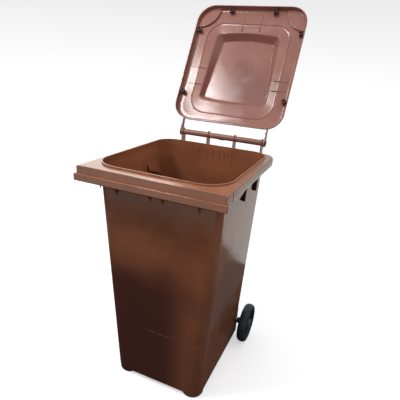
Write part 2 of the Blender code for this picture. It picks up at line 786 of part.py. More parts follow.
def tyre_profile():
    low = WHEEL_X - TYRE_WIDTH / 2
    high = WHEEL_X + TYRE_WIDTH / 2
    crown = WHEEL_RADIUS - TYRE_CROWN_DROP
    return [
        (TYRE_INNER, high), (TYRE_SIDE_RADIUS, high), (TYRE_SHOULDER_RADIUS, high - TYRE_SHOULDER),
        (crown, high - TYRE_CROWN_EDGE), (WHEEL_RADIUS, WHEEL_X), (crown, low + TYRE_CROWN_EDGE),
        (TYRE_SHOULDER_RADIUS, low + TYRE_SHOULDER), (TYRE_SIDE_RADIUS, low), (TYRE_INNER, low),
    ]


def disc_profile():
    """Hub, thin web and rim ring of the moulded wheel, one closed section."""
    ring_high = WHEEL_X + RIM_RING_WIDTH / 2
    ring_low = WHEEL_X - RIM_RING_WIDTH / 2
    ring_outer = TYRE_INNER - GAP
    ring_inner = RIM_RING_INNER
    web_high = WHEEL_X - DISC_WEB_OUTER
    web_low = WHEEL_X - DISC_WEB_INNER
    return [
        (HUB_RADIUS, HUB_OUTER_X), (HUB_RADIUS, web_high), (ring_inner, web_high), (ring_inner, ring_high),
        (ring_outer, ring_high), (ring_outer, ring_low), (ring_inner, ring_low), (ring_inner, web_low),
        (HUB_RADIUS, web_low), (HUB_RADIUS, HUB_INNER_X), (BUSH_RADIUS + GAP, HUB_INNER_X),
        (BUSH_RADIUS + GAP, HUB_OUTER_X),
    ]


def add_spokes(disc, name):
    """Upright spokes on the outer face of the web."""
    for index in range(SPOKES):
        spoke = box(f"{name}_spoke_{index}", (HUB_RADIUS - OVERLAP, -SPOKE_HALF, WHEEL_X - SPOKE_ROOT),
                    (SPOKE_END, SPOKE_HALF, WHEEL_X + SPOKE_HEIGHT))
        spoke.data.transform(Matrix.Rotation(math.tau * index / SPOKES, 4, "Z"))
        join(disc, spoke)


def cap_profile():
    skirt = HUB_OUTER_X + GAP
    shoulder = CAP_OUTER_X - CAP_SHOULDER_DROP
    dome = CAP_OUTER_X - CAP_DOME_DROP
    return [
        (0.0, CAP_OUTER_X), (CAP_FACE_RADIUS, CAP_OUTER_X), (CAP_DOME_RADIUS, dome),
        (CAP_RADIUS, shoulder), (CAP_RADIUS, skirt), (CAP_RADIUS - CAP_SKIN, skirt),
        (CAP_RADIUS - CAP_SKIN, shoulder - CAP_SKIN), (CAP_DOME_RADIUS - CAP_SKIN, dome - CAP_SKIN),
        (0.0, CAP_OUTER_X - CAP_FACE_SKIN),
    ]


def make_wheel(side, suffix):
    washer_start = HUB_OUTER_X + GAP
    ring_start = washer_start + WASHER_THICK + 2 * GAP
    on_axle(turned(f"axle_sleeve_{suffix}", tube_profile(
        SLEEVE_RADIUS, AXLE_RADIUS + GAP, SLEEVE_INNER_X, HUB_INNER_X - GAP),
        SLEEVE_PLASTIC, closed=True, steps=SMALL_STEPS), side)
    disc = on_axle(turned(f"wheel_disc_{suffix}", disc_profile(), DISC_PLASTIC, closed=True), side)
    add_spokes(disc, f"wheel_disc_{suffix}")
    on_axle(turned(f"wheel_tyre_{suffix}", tyre_profile(), TYRE_RUBBER, closed=True, steps=WIDE_STEPS),
            side)
    on_axle(turned(f"wheel_bush_{suffix}", tube_profile(
        BUSH_RADIUS, AXLE_RADIUS + GAP, HUB_INNER_X + BUSH_RECESS, HUB_OUTER_X - BUSH_RECESS),
        BUSH_NYLON, closed=True, steps=SMALL_STEPS), side)
    on_axle(turned(f"axle_washer_{suffix}", tube_profile(
        WASHER_RADIUS, AXLE_RADIUS + GAP, washer_start, washer_start + WASHER_THICK),
        AXLE_STEEL, closed=True, steps=SMALL_STEPS), side)
    on_axle(turned(f"axle_snap_ring_{suffix}", tube_profile(
        RING_RADIUS, GROOVE_RADIUS + GAP, ring_start, ring_start + RING_THICK - GAP),
        SPRING_STEEL, closed=True, steps=SMALL_STEPS), side)
    on_axle(turned(f"hub_cap_{suffix}", cap_profile(), CAP_PLASTIC, steps=SMALL_STEPS), side)


def make_chip_plug():
    top = CHIP_HEIGHT - CHIP_SHORT
    plug = turned("chip_plug", [
        (0.0, top), (CHIP_RADIUS, top), (CHIP_RADIUS, CHAMFER), (CHIP_RADIUS - CHAMFER, 0.0), (0.0, 0.0)],
        CHIP_PLASTIC, steps=SMALL_STEPS)
    plug.location = (0.0, CHIP_Y, CHIP_Z)


def move_to_origin():
    for item in BIN.objects:
        if item.parent is None:
            item.location.y += ORIGIN_SHIFT


def main():
    make_body()
    make_handle_bar()
    make_hinge_pins()
    hinge = bpy.data.objects.new("lid_hinge", None)
    BIN.objects.link(hinge)
    hinge.location = (0.0, HINGE_Y, HINGE_Z)
    hinge.rotation_euler = (math.radians(-LID_OPEN), 0.0, 0.0)
    make_lid(hinge)
    make_buffers(hinge)
    make_axle()
    for side, suffix in ((-1, "left"), (1, "right")):
        make_wheel(side, suffix)
    make_chip_plug()
    move_to_origin()


main()
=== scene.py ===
import json
import math

import bmesh
import bpy
import numpy as np
from mathutils import Matrix, Vector


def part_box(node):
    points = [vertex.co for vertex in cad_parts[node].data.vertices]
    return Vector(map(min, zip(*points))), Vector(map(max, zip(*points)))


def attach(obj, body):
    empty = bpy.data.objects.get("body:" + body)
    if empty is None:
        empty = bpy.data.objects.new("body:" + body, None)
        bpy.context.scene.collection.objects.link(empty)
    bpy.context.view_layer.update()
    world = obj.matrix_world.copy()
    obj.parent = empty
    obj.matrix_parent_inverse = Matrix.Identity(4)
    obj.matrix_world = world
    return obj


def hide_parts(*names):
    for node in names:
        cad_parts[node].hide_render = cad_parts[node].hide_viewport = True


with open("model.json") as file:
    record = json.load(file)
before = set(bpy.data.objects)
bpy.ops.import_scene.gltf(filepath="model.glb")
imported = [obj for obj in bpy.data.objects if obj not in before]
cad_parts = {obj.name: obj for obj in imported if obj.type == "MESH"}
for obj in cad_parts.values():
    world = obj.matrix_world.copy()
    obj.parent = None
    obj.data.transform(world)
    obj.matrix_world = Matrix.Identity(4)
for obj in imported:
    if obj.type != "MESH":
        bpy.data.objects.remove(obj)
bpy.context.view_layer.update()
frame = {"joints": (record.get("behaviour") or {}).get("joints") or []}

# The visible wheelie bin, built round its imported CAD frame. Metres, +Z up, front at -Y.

JOINTS = {joint["name"]: joint for joint in frame["joints"]}
HINGE = Vector(JOINTS["lid_hinge"]["pos_m"])
AXLE = Vector(JOINTS["wheel_spin_right"]["pos_m"])
LID_OPEN = JOINTS["lid_hinge"]["range_deg"][0]

# ---- dimensions ----

BODY_LOW, BODY_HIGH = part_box("bin_body")
LOWER_FRONT = 0.330
TUB_Y = BODY_LOW.y + LOWER_FRONT
LOWER_HALF = BODY_HIGH.x
HINGE_Y = HINGE.y - TUB_Y
HINGE_Z = HINGE.z
AXLE_Y = AXLE.y - TUB_Y
AXLE_Z = AXLE.z

WALL = 0.004
CUT = 0.02
GAP = 0.0003

# tub sections: half width, front, rear, front corner, rear corner
FLOOR_Z = 0.0184
BASE = (0.2105, 0.217, 0.290, 0.050, 0.045)
NECK_Z = 0.912
NECK = (0.2465, 0.2455, 0.292, 0.030, 0.070)
THROAT_Z = 0.948
THROAT = (0.2515, 0.2610, 0.2915, 0.060, 0.070)
MOUTH_Z = 0.978
BEAD = 0.0042
MOUTH = (0.2545 + BEAD, 0.2762 + BEAD, 0.2851 + BEAD, 0.105, 0.077)
BEAD_TOP = 1.000
BEAD_ROUND = 0.0020
FLOOR_ROLL = 0.014

DECK_Z = 0.994
RIM_HALF = 0.2845
RIM_REAR = 0.309
RIM_CORNER = 0.059
RIM_FRONT = 0.268
RIM_FRONT_CORNER = 0.012
RIM_ROLL = 0.014
SKIRT_Z = 0.958

LIP_SKIN = 0.0045
UPPER_HALF = 0.2845
UPPER_FRONT = 0.321
UPPER_Z = 0.965
UPPER_ROUND = 0.0034
LOWER_Z = 0.939
LOWER_ROUND = 0.0030
LIP_END_DEPTH = 0.020
HOLLOW_REAR = -0.2832
DECK_MARGIN = 0.018
DECK_FRONT = -0.275
DECK_REAR = -0.255
DECK_LOW = 0.976
GROOVES = ((-0.288, 0.990, 0.962), (-0.240, 0.986, 0.966))    # place along Y, top, foot
GROOVE_HALF = 0.0009

# comb webs: distance from the middle, depth where they leave the lip, lowest point
COMBS = ((0.025, 0.285, 0.884), (0.166, 0.285, 0.880), (0.240, 0.266, 0.894))
COMB_THICK = 0.004

FOOT_RADIUS = 0.0485
FOOT_TOP = 0.060
FOOT_ROUND = 0.010

POCKETS = (
    {"rear": 0.191, "front": 0.098, "top_rear": 0.917, "top_front": 0.914,
     "low_rear": 0.852, "low_front": 0.886},
    {"rear": 0.033, "front": -0.051, "top_rear": 0.917, "top_front": 0.893,
     "low_rear": 0.853, "low_front": 0.888},
)
POCKET_DEPTH = 0.021
POCKET_SKIN = 0.003
POCKET_TOP_DEPTH = 0.001

BAR_RADIUS = 0.0135
BAR_BORE = 0.0080
WEB_X = (0.0665, 0.200)
WEB_THICK = 0.005
WEB_REACH = 0.0195
WEB_FOOT_Z = 0.800
WEB_SHELF_Z = 0.925
WEB_FALL = 0.006
WEB_HEEL = 0.005
WEB_NECK = 0.020

# side wall's outer skin at height z: SIDE_AT_FLOOR + SIDE_LEAN * z
SIDE_LEAN = 0.0403
SIDE_AT_FLOOR = 0.2097
SCRATCH_HEIGHT = (0.2985, 0.2997)
SCRATCH_ACROSS = (-0.04, 0.19)
# colour of the painted shade in the side pockets
POCKET_SHADE = (0.030, 0.011, 0.012, 1.0)
EDGE_ROUND = 0.0012    # rounding that shading gives to small moulded edges

RECESS_FRONT = 0.236
RECESS_ROOF = 0.125
RECESS_TOP = 0.165
RECESS_HALF = 0.190
AXLE_WEB_X = 0.070
AXLE_WEB_THICK = 0.006

REAR_LINES = (-0.077, -0.034, -0.004, 0.028, 0.052, 0.069, 0.088)
REAR_LINE_HALF = 0.0008
LEDGES = ((0.915, 110, 165), (0.890, 115, 160))    # height, start and end of the arc
LEDGE_OUT = 0.0680
LEDGE_IN = 0.0640
LEDGE_HALF = 0.001

CHIP_Y = -0.298
CHIP_RADIUS = 0.0145
CHIP_HEIGHT = 0.012
CHIP_WALL = 0.003

LID_SKIN = 0.0035
LID_HALF = 0.2735
LID_REAR = 0.0575
LID_FRONT = 0.6548
LID_CORNER = 0.085
LID_EDGE = -0.028
LID_DECK = 0.003
LID_ROLL = 0.0172
CROWN_TOP = 0.041
CREASE = (0.210, 0.572, -0.108, 0.075)    # half width, front, rear, corner
CREASE_BOW = 0.004
CREASE_WIDE = 0.0021
CREASE_DEPTH = 0.0024
# raised middle: half width, front, rear, corner, bow, taper
WELL_FOOT = (0.1680, 0.5215, -0.1805, 0.017, 0.014, 0.005)
WELL_TOP = (0.1480, 0.4995, -0.2005, 0.010, 0.012, 0.0155)
ARM_X = 0.2115
ARM_THICK = 0.005
ARM_END = -0.0628
ARM_KNEE = -0.050
LUG_RADIUS = 0.0028
LUG_END_X = 0.2035
EYE_RADIUS = 0.0185
EYE_BORE = 0.0082
GRIP_RADIUS = 0.097
GRIP_DEPTH = 0.009
# lines under the lid: (left end, right end, reach) and (place across, start, end)
RIBS_ACROSS = ((-0.252, -0.174, 0.337), (-0.252, -0.178, 0.252), (0.178, 0.252, 0.252), (0.180, 0.252, 0.300))
RIBS_ALONG = ((-0.037, 0.540, 0.634), (0.051, 0.538, 0.631))
RIB_HALF = 0.0012
RIB_DROP = 0.0014
GATE_REACH = 0.362
GATE_RINGS = (0.0170, 0.0310, 0.0460)
GATE_RING_WIDE = 0.0025
BUFFER_PLACES = ((0.110, 0.636), (0.255, 0.530), (0.254, 0.200))
BUFFER_TOP = LID_DECK - LID_SKIN - 0.006
BUFFER_TIP = BEAD_TOP + 0.001 - HINGE_Z
BUFFER_RADIUS = 0.0110
BUFFER_BORE = 0.0062
PEG_RADIUS = 0.0058
PEG_END = -0.0140
BOSS_RADIUS = 0.0125
BOSS_ROOT_RADIUS = 0.0085

PIN_RADIUS = 0.0076
AXLE_BORE = 0.0103
SNAP_BORE = 0.0088
SNAP_GROOVE = 0.0015
TYRE_INNER = 0.0783
HUB_RADIUS = 0.024
HUB_BORE = 0.0143
BUSH_RECESS = 0.001
RIM_WIDTH = 0.034
RIM_INNER = 0.0722
WEB_OUTER = 0.0715
SPOKES = 6
SPOKE_HALF = 0.0028
CAP_SKIN = 0.0015

# camera, found by fitting the photo's perspective: turn, tip and roll in radians
CAMERA_TURNS = (0.388114, 0.402679, 0.071425)
CAMERA_PLACE = (0.614848, TUB_Y - 1.338344, 1.373170)
CAMERA_LENS = 34.02
CAMERA_SHIFT = (0.0011, 0.0433)

SKY_LOW = (0.42, 0.42, 0.43)
SKY_HIGH = (0.88, 0.88, 0.90)
GROUND = (0.125, 0.115, 0.11)
KEY_PLACE = (-1.5, TUB_Y - 1.4, 3.5)
KEY_TARGET = (0.0, 0.0, 0.9)
KEY_SIZE = 0.7
KEY_POWER = 48.0
FLOOR_GLOW = 0.50
WALL_GLOW = 0.74
SIDE_GLOW = 2.1
GLINT_GLOW = 26.0
FAR_GLOW = 1.1
FAR_START = -1.45
FAR_FULL = -2.4
MAT_RADIUS = 1.5
MAT_RIGHT = 0.34

ARC_STEPS = 12
EDGE_STEPS = 14
TURN_STEPS = 72
ON_AXIS = 1e-6


# ---- mesh helpers ----

def placed(name, data):
    item = bpy.data.objects.new(name, data)
    bpy.context.scene.collection.objects.link(item)
    return item


def mesh_object(name, builder):
    bmesh.ops.recalc_face_normals(builder, faces=builder.faces)
    mesh = bpy.data.meshes.new(name)
    builder.to_mesh(mesh)
    builder.free()
    return placed(name, mesh)


def shift(item, x, y, z):
    item.data.transform(Matrix.Translation((x, y, z)))
    return item


def arc(centre, radius, start, end, steps=ARC_STEPS):
    turns = np.radians(np.linspace(start, end, steps + 1))
    return [(centre[0] + radius * math.cos(turn), centre[1] + radius * math.sin(turn)) for turn in turns]


def outline(half, front, rear, corner, rear_corner, bow=0.0, taper=0.0):
    """Rounded rectangle seen from above, anticlockwise, with its straight edges divided.

    bow pushes the front and rear edges out at their middles.
    taper widens the rear and narrows the front.
    """
    arcs = [
        arc((half - rear_corner, rear - rear_corner), rear_corner, 0, 90),
        arc((rear_corner - half, rear - rear_corner), rear_corner, 90, 180),
        arc((corner - half, corner - front), corner, 180, 270),
        arc((half - corner, corner - front), corner, 270, 360),
    ]
    points = []
    for here, after in zip(arcs, arcs[1:] + arcs[:1]):
        points += here
        run = np.linspace(here[-1], after[0], EDGE_STEPS + 1)[1:-1]
        points += [tuple(point) for point in run]
    points = np.array(points)
    middle = (rear - front) / 2
    span = (rear + front) / 2
    across = np.clip(np.abs(points[:, 0]) / half, 0, 1)
    points[:, 1] += np.sign(points[:, 1] - middle) * bow * (1 - across ** 2)
    points[:, 0] *= 1 + taper / half * (points[:, 1] - middle) / span
    return points


def at(height, points):
    return np.column_stack([points, np.full(len(points), height)])


def toward(here, there, reach):
    span = np.linalg.norm(np.subtract(there, here), axis=-1).mean()
    return here + np.subtract(there, here) * min(0.5, reach / span)


def rounded(keys, steps=5, loop=False):
    """Points or rings through the keys, each rounded off over the reach given with it."""
    shapes = [np.asarray(shape, float) for shape, reach in keys]
    reaches = [reach for shape, reach in keys]
    made = []
    last = len(shapes) - 1
    for index, (here, reach) in enumerate(zip(shapes, reaches)):
        if reach == 0 or (not loop and index in (0, last)):
            made.append(here)
            continue
        start = toward(here, shapes[index - 1], reach)
        end = toward(here, shapes[(index + 1) % len(shapes)], reach)
        for share in np.linspace(0, 1, steps + 1):
            made.append((1 - share) ** 2 * start + 2 * share * (1 - share) * here + share ** 2 * end)
    return made


def divided(rings, longest=0.05):
    """Rings with extra ones between those that are far apart."""
    made = [rings[0]]
    for before, after in zip(rings, rings[1:]):
        count = max(1, math.ceil(np.linalg.norm(after - before, axis=1).mean() / longest))
        made += [before + (after - before) * step / count for step in range(1, count + 1)]
    return made


def skin_rows(builder, rows, loop=False):
    """Faces between each row of vertices and the next; a row of one vertex is a point."""
    for lower, upper in zip(rows, rows[1:] + (rows[:1] if loop else [])):
        count = max(len(lower), len(upper))
        for index in range(count):
            after = (index + 1) % count
            corners = [lower[index % len(lower)], lower[after % len(lower)],
                       upper[after % len(upper)], upper[index % len(upper)]]
            distinct = list(dict.fromkeys(corners))
            if len(distinct) > 2:
                builder.faces.new(distinct)


def loft(name, rings, loop=False):
    builder = bmesh.new()
    rows = [[builder.verts.new(point) for point in ring] for ring in rings]
    skin_rows(builder, rows, loop)
    if not loop:
        builder.faces.new(rows[-1])
        builder.faces.new(list(reversed(rows[0])))
    return mesh_object(name, builder)


def lathe(name, keys, loop=False, steps=TURN_STEPS, rounding=4):
    """Turn (radius, height, rounding reach) keys about Z; loop closes the profile on itself."""
    profile = rounded([((radius, height), reach) for radius, height, reach in keys], rounding, loop)
    builder = bmesh.new()
    rows = []
    for radius, height in profile:
        turns = [math.tau * step / steps for step in range(steps if radius > ON_AXIS else 1)]
        rows.append([builder.verts.new((radius * math.cos(turn), radius * math.sin(turn), height))
                     for turn in turns])
    skin_rows(builder, rows, loop)
    return mesh_object(name, builder)


def round_edges(builder, edges, offset, segments=2):
    if offset:
        bmesh.ops.bevel(builder, geom=edges, offset=offset, segments=segments, profile=0.5, affect="EDGES")


def block(name, low, high, round_by=0.0, segments=2):
    builder = bmesh.new()
    bmesh.ops.create_cube(builder, size=1.0)
    bmesh.ops.scale(builder, vec=Vector(high) - Vector(low), verts=builder.verts)
    bmesh.ops.translate(builder, vec=(Vector(high) + Vector(low)) / 2, verts=builder.verts)
    round_edges(builder, builder.edges[:], round_by, segments)
    return mesh_object(name, builder)


def extruded(corners, by):
    """A new flat face through the corners, drawn out into a solid."""
    builder = bmesh.new()
    face = builder.faces.new([builder.verts.new(corner) for corner in corners])
    raised = bmesh.ops.extrude_face_region(builder, geom=[face])
    moved = [item for item in raised["geom"] if isinstance(item, bmesh.types.BMVert)]
    bmesh.ops.translate(builder, verts=moved, vec=by)
    return builder


def plate(name, points, centre_x, thickness, round_by=0.0):
    """Flat outline in the YZ plane, given thickness along X, with its face edges rounded."""
    builder = extruded([(centre_x - thickness / 2, y, z) for y, z in points], (thickness, 0.0, 0.0))
    level = [edge for edge in builder.edges if abs(edge.verts[0].co.x - edge.verts[1].co.x) < thickness / 2]
    round_edges(builder, level, round_by)
    return mesh_object(name, builder)


def prism(name, plan, low, high, round_by=0.0):
    """Upright solid on a plan outline, with all its edges rounded."""
    builder = extruded([(x, y, low) for x, y in plan], (0.0, 0.0, high - low))
    round_edges(builder, builder.edges[:], round_by, 3)
    return mesh_object(name, builder)


def lay_along_x(item, side, y, z):
    """Turn a lathed piece's +Z to point out of the bin on one side, and put it on its axis."""
    turn = Matrix.Rotation(math.radians(90 * side), 4, "Y")
    item.data.transform(Matrix.Translation((0.0, y, z)) @ turn)
    return item


def cross_rod(name, radius, y, z, half=0.30):
    rod = lathe(name, [(0.0, -half, 0), (radius, -half, 0), (radius, half, 0), (0.0, half, 0)])
    return lay_along_x(rod, 1, y, z)


def build(item, steps):
    """Apply (operation, tool) steps to item in order and remove the tools."""
    for operation, tool in steps:
        change = item.modifiers.new(tool.name, "BOOLEAN")
        change.operation = operation
        change.solver = "MANIFOLD"
        change.object = tool
    bpy.context.view_layer.update()
    shaped = item.evaluated_get(bpy.context.evaluated_depsgraph_get())
    mesh = bpy.data.meshes.new_from_object(shaped)
    item.modifiers.clear()
    item.data = mesh
    for operation, tool in steps:
        bpy.data.objects.remove(tool)
    return item


def joins(*tools):
    return [("UNION", tool) for tool in tools]


def cuts(*tools):
    return [("DIFFERENCE", tool) for tool in tools]


def smooth(item, angle=35.0):
    builder = bmesh.new()
    builder.from_mesh(item.data)
    bmesh.ops.remove_doubles(builder, verts=builder.verts, dist=0.000005)
    bmesh.ops.dissolve_degenerate(builder, edges=builder.edges, dist=0.000005)
    builder.to_mesh(item.data)
    builder.free()
    item.data.shade_smooth()
    item.data.set_sharp_from_angle(angle=math.radians(angle))
    weigh = item.modifiers.new("even_shading", "WEIGHTED_NORMAL")
    weigh.keep_sharp = True
    weigh.weight = 80
    return item


def finish_piece(item, body, slot, material, *nodes, angle=35.0):
    """Give a finished piece its surface, its body and the CAD nodes it stands for."""
    smooth(item, angle)
    item.data.materials.clear()
    item.data.materials.append(material)
    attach(item, body)
    if nodes:
        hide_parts(*nodes)
    return item


# ---- materials ----

def node(tree, kind, settings=None, **inputs):
    """Add a node; inputs are values or sockets, with _ for a space in their names."""
    made = tree.nodes.new(kind)
    for name, value in (settings or {}).items():
        setattr(made, name, value)
    for name, value in inputs.items():
        key = int(name[1:]) if name[0] == "i" and name[1:].isdigit() else name.replace("_", " ")
        if isinstance(value, bpy.types.NodeSocket):
            tree.links.new(value, made.inputs[key])
        else:
            made.inputs[key].default_value = value
    return made


def ramp(tree, value, low, high, start=0.0, end=1.0):
    """Map value from low..high to start..end, smoothly."""
    return node(tree, "ShaderNodeMapRange", {"interpolation_type": "SMOOTHSTEP"}, Value=value,
                From_Min=low, From_Max=high, To_Min=start, To_Max=end).outputs["Result"]


def noise(tree, place, scale, detail=3.0, roughness=0.5):
    return node(tree, "ShaderNodeTexNoise", Vector=place, Scale=scale, Detail=detail,
                Roughness=roughness).outputs["Fac"]


def mix(tree, share, first, second):
    made = node(tree, "ShaderNodeMix", {"data_type": "RGBA"})
    for index, value in ((0, share), (6, first), (7, second)):
        if isinstance(value, bpy.types.NodeSocket):
            tree.links.new(value, made.inputs[index])
        else:
            made.inputs[index].default_value = value
    return made.outputs[2]


def maths(tree, operation, first, second):
    return node(tree, "ShaderNodeMath", {"operation": operation}, i0=first, i1=second).outputs[0]


def product(tree, first, *others):
    for other in others:
        first = maths(tree, "MULTIPLY", first, other)
    return first


def split(tree, vector):
    return node(tree, "ShaderNodeSeparateXYZ", Vector=vector).outputs


def stretched(tree, place, scale):
    return node(tree, "ShaderNodeMapping", Vector=place, Scale=scale).outputs["Vector"]


def bump(tree, height, strength, distance, under=None, invert=False):
    made = node(tree, "ShaderNodeBump", {"invert": invert}, Height=height, Strength=strength,
                Distance=distance)
    if under:
        tree.links.new(under, made.inputs["Normal"])
    return made.outputs["Normal"]


def surface(name, metallic=0.0, specular=0.5):
    """A new material, its node tree and its place in the piece's own coordinates."""
    made = bpy.data.materials.new(name)
    made.use_nodes = True
    inputs = made.node_tree.nodes["Principled BSDF"].inputs
    inputs["Metallic"].default_value = metallic
    inputs["Specular IOR Level"].default_value = specular
    return made, made.node_tree, node(made.node_tree, "ShaderNodeTexCoord").outputs["Object"]


def finished(made, base, rough, normal):
    inputs = made.node_tree.nodes["Principled BSDF"].inputs
    for name, socket in (("Base Color", base), ("Roughness", rough), ("Normal", normal)):
        made.node_tree.links.new(socket, inputs[name])
    return made


def window(tree, value, low, high, soft):
    """One between low and high, fading to nothing over soft on both sides."""
    return product(tree, ramp(tree, value, low - soft, low), ramp(tree, value, high + soft, high))


def pocket_painted_shade(tree, place, facing):
    """Share of painted shade in the side pockets: everything sunk below the side wall's outer skin."""
    parts = split(tree, place)
    skin = maths(tree, "ADD", product(tree, parts["Z"], SIDE_LEAN), SIDE_AT_FLOOR)
    depth = maths(tree, "SUBTRACT", skin, maths(tree, "ABSOLUTE", parts["X"], 0.0))
    outward = ramp(tree, product(tree, split(tree, facing)["X"], parts["X"]), -0.04, -0.02)
    rear, front = POCKETS
    along = window(tree, parts["Y"], front["front"] + TUB_Y - 0.002, rear["rear"] + TUB_Y + 0.002, 0.001)
    upright = window(tree, parts["Z"], rear["low_rear"] - 0.002, rear["top_rear"] + 0.002, 0.001)
    return product(tree, window(tree, depth, 0.006, 0.026, 0.004), outward, 0.92, along, upright)


def front_scratch(tree, place):
    """Share of one long faint scratch, nearly level, low across the front wall."""
    parts = split(tree, place)
    waver = product(tree, noise(tree, place, 9.0, 2.0), 0.006)
    height = window(tree, maths(tree, "ADD", parts["Z"], waver), *SCRATCH_HEIGHT, 0.0012)
    across = window(tree, parts["X"], *SCRATCH_ACROSS, 0.02)
    front = ramp(tree, parts["Y"], TUB_Y - 0.20, TUB_Y - 0.21)
    broken = ramp(tree, noise(tree, place, 70.0, 3.0), 0.42, 0.56, 0.05, 0.55)
    return product(tree, height, across, front, broken)


def front_shade(tree, place, drift):
    """Share of the painted shade low on the body: strong on the front, weaker to the right and the rear."""
    parts = split(tree, place)
    edge = maths(tree, "ADD", parts["Z"], product(tree, maths(tree, "SUBTRACT", drift, 0.5), 0.22))
    share = product(tree, ramp(tree, edge, 0.82, 0.50), ramp(tree, parts["X"], 0.02, 0.22, 0.92, 0.30),
                    ramp(tree, parts["Y"], TUB_Y + 0.15, TUB_Y + 0.28, 1.0, 0.35),
                    ramp(tree, parts["X"], -0.222, -0.205, 0.40, 1.0))
    lowest = product(tree, ramp(tree, edge, 0.50, 0.34, 0.0, 0.55),
                     ramp(tree, parts["Y"], TUB_Y - 0.15, TUB_Y - 0.21))
    return maths(tree, "MAXIMUM", share, lowest)


def scuffs(tree, place, stretch, line, patch):
    """Share of fine straight marks that run along one direction, in patches."""
    marks = noise(tree, stretched(tree, place, stretch), 1.0, 2.0)
    return product(tree, ramp(tree, marks, *line), ramp(tree, noise(tree, place, 7.0, 3.0), *patch))


def moulded_plastic(name, colour, pale, roughness, dust, scratches=0.3, low_shade=None):
    """Moulded polyethylene: slow colour drift, fine grain, long flow waves, scuffs and settled dust; with
    low_shade, also painted shade low on the body and in the side pockets, and a pale scratch.
    """
    made, tree, place = surface(name)
    facing = node(tree, "ShaderNodeNewGeometry").outputs["Normal"]
    pale = (*pale, 1.0)
    drift = noise(tree, place, 3.2, 4.0)
    blotch = noise(tree, place, 14.0, 5.0, 0.6)
    dark = tuple(0.80 * part for part in colour)
    light = tuple(min(1.0, 1.16 * part) for part in colour)
    base = mix(tree, ramp(tree, drift, 0.35, 0.66), (*dark, 1.0), (*light, 1.0))
    base = mix(tree, ramp(tree, blotch, 0.52, 0.80, 0.0, 0.10), base, pale)
    level = scuffs(tree, place, (9.0, 9.0, 420.0), (0.70, 0.78), (0.52, 0.70))
    cross = scuffs(tree, place, (380.0, 12.0, 12.0), (0.72, 0.79), (0.50, 0.68))
    marks = product(tree, maths(tree, "MAXIMUM", level, cross), scratches)
    base = mix(tree, marks, base, pale)
    settled = product(tree, ramp(tree, split(tree, facing)["Z"], 0.35, 0.95),
                      ramp(tree, blotch, 0.30, 0.75, 0.35, 1.0), dust)
    base = mix(tree, settled, base, pale)
    # low_shade: painted shade low on the body and painted shade in the side pockets, then a pale scratch
    if low_shade:
        base = mix(tree, front_shade(tree, place, drift), base, (*low_shade, 1.0))
        base = mix(tree, pocket_painted_shade(tree, place, facing), base, POCKET_SHADE)
        base = mix(tree, front_scratch(tree, place), base, pale)
    rough = maths(tree, "ADD", ramp(tree, blotch, 0.35, 0.75, roughness - 0.04, roughness + 0.07),
                  product(tree, settled, 0.25))
    rough = maths(tree, "ADD", rough, product(tree, marks, 0.15))
    soft_edge = node(tree, "ShaderNodeBevel", {"samples": 4}, Radius=EDGE_ROUND).outputs["Normal"]
    flow = bump(tree, noise(tree, stretched(tree, place, (5.0, 5.0, 2.2)), 1.0, 1.0), 1.0, 0.001, soft_edge)
    fine = bump(tree, noise(tree, place, 900.0, 2.0), 0.25, 0.00005, flow)
    worn = bump(tree, maths(tree, "ADD", marks, noise(tree, place, 260.0, 2.0)), 0.15, 0.00006, fine, True)
    return finished(made, base, rough, worn)


def rubber(name):
    """Solid rubber tyre: blue-black, dusty in patches, fine grain."""
    made, tree, place = surface(name, specular=0.4)
    patch = noise(tree, place, 22.0, 5.0, 0.6)
    base = mix(tree, ramp(tree, patch, 0.35, 0.75), (0.008, 0.019, 0.027, 1.0), (0.034, 0.056, 0.070, 1.0))
    dirt = noise(tree, place, 60.0, 4.0, 0.65)
    base = mix(tree, ramp(tree, dirt, 0.55, 0.85, 0.0, 0.45), base, (0.13, 0.125, 0.115, 1.0))
    grain = bump(tree, noise(tree, place, 1400.0, 3.0), 0.5, 0.0001)
    return finished(made, base, ramp(tree, patch, 0.3, 0.8, 0.48, 0.68), grain)


def metal(name, colour, roughness, brushed):
    """Plated or sprung steel: fine drawing lines round or along, slight tarnish."""
    made, tree, place = surface(name, metallic=1.0)
    lines = noise(tree, stretched(tree, place, brushed), 1.0, 3.0)
    tarnish = noise(tree, place, 45.0, 4.0, 0.6)
    dull = tuple(0.62 * part for part in colour)
    base = mix(tree, ramp(tree, tarnish, 0.40, 0.75), (*colour, 1.0), (*dull, 1.0))
    rough = ramp(tree, lines, 0.3, 0.7, roughness - 0.08, roughness + 0.12)
    return finished(made, base, rough, bump(tree, lines, 0.2, 0.00004))


# the body's last colour, low_shade, is painted shade laid low on the body, deepest on the front
BODY = moulded_plastic("body_plastic", (0.330, 0.118, 0.056), (0.42, 0.22, 0.14), 0.13, 0.35, 0.12,
                       (0.060, 0.020, 0.017))
# the bar and the lid are the body's brown plastic; their pinker tint is painted reflection
BAR = moulded_plastic("bar_plastic", (0.27, 0.115, 0.080), (0.45, 0.30, 0.24), 0.36, 0.30)
LID = moulded_plastic("lid_plastic", (0.325, 0.135, 0.100), (0.46, 0.30, 0.25), 0.19, 0.18)
BUFFER = moulded_plastic("buffer_plastic", (0.075, 0.032, 0.034), (0.20, 0.13, 0.12), 0.38, 0.20)
PIN = moulded_plastic("pin_plastic", (0.035, 0.020, 0.018), (0.18, 0.13, 0.11), 0.42, 0.20)
SLEEVE = moulded_plastic("sleeve_plastic", (0.012, 0.012, 0.013), (0.10, 0.10, 0.10), 0.45, 0.20)
WHEEL = moulded_plastic("wheel_plastic", (0.022, 0.026, 0.030), (0.16, 0.16, 0.16), 0.40, 0.25)
CAP = moulded_plastic("cap_plastic", (0.060, 0.066, 0.072), (0.25, 0.25, 0.25), 0.36, 0.20)
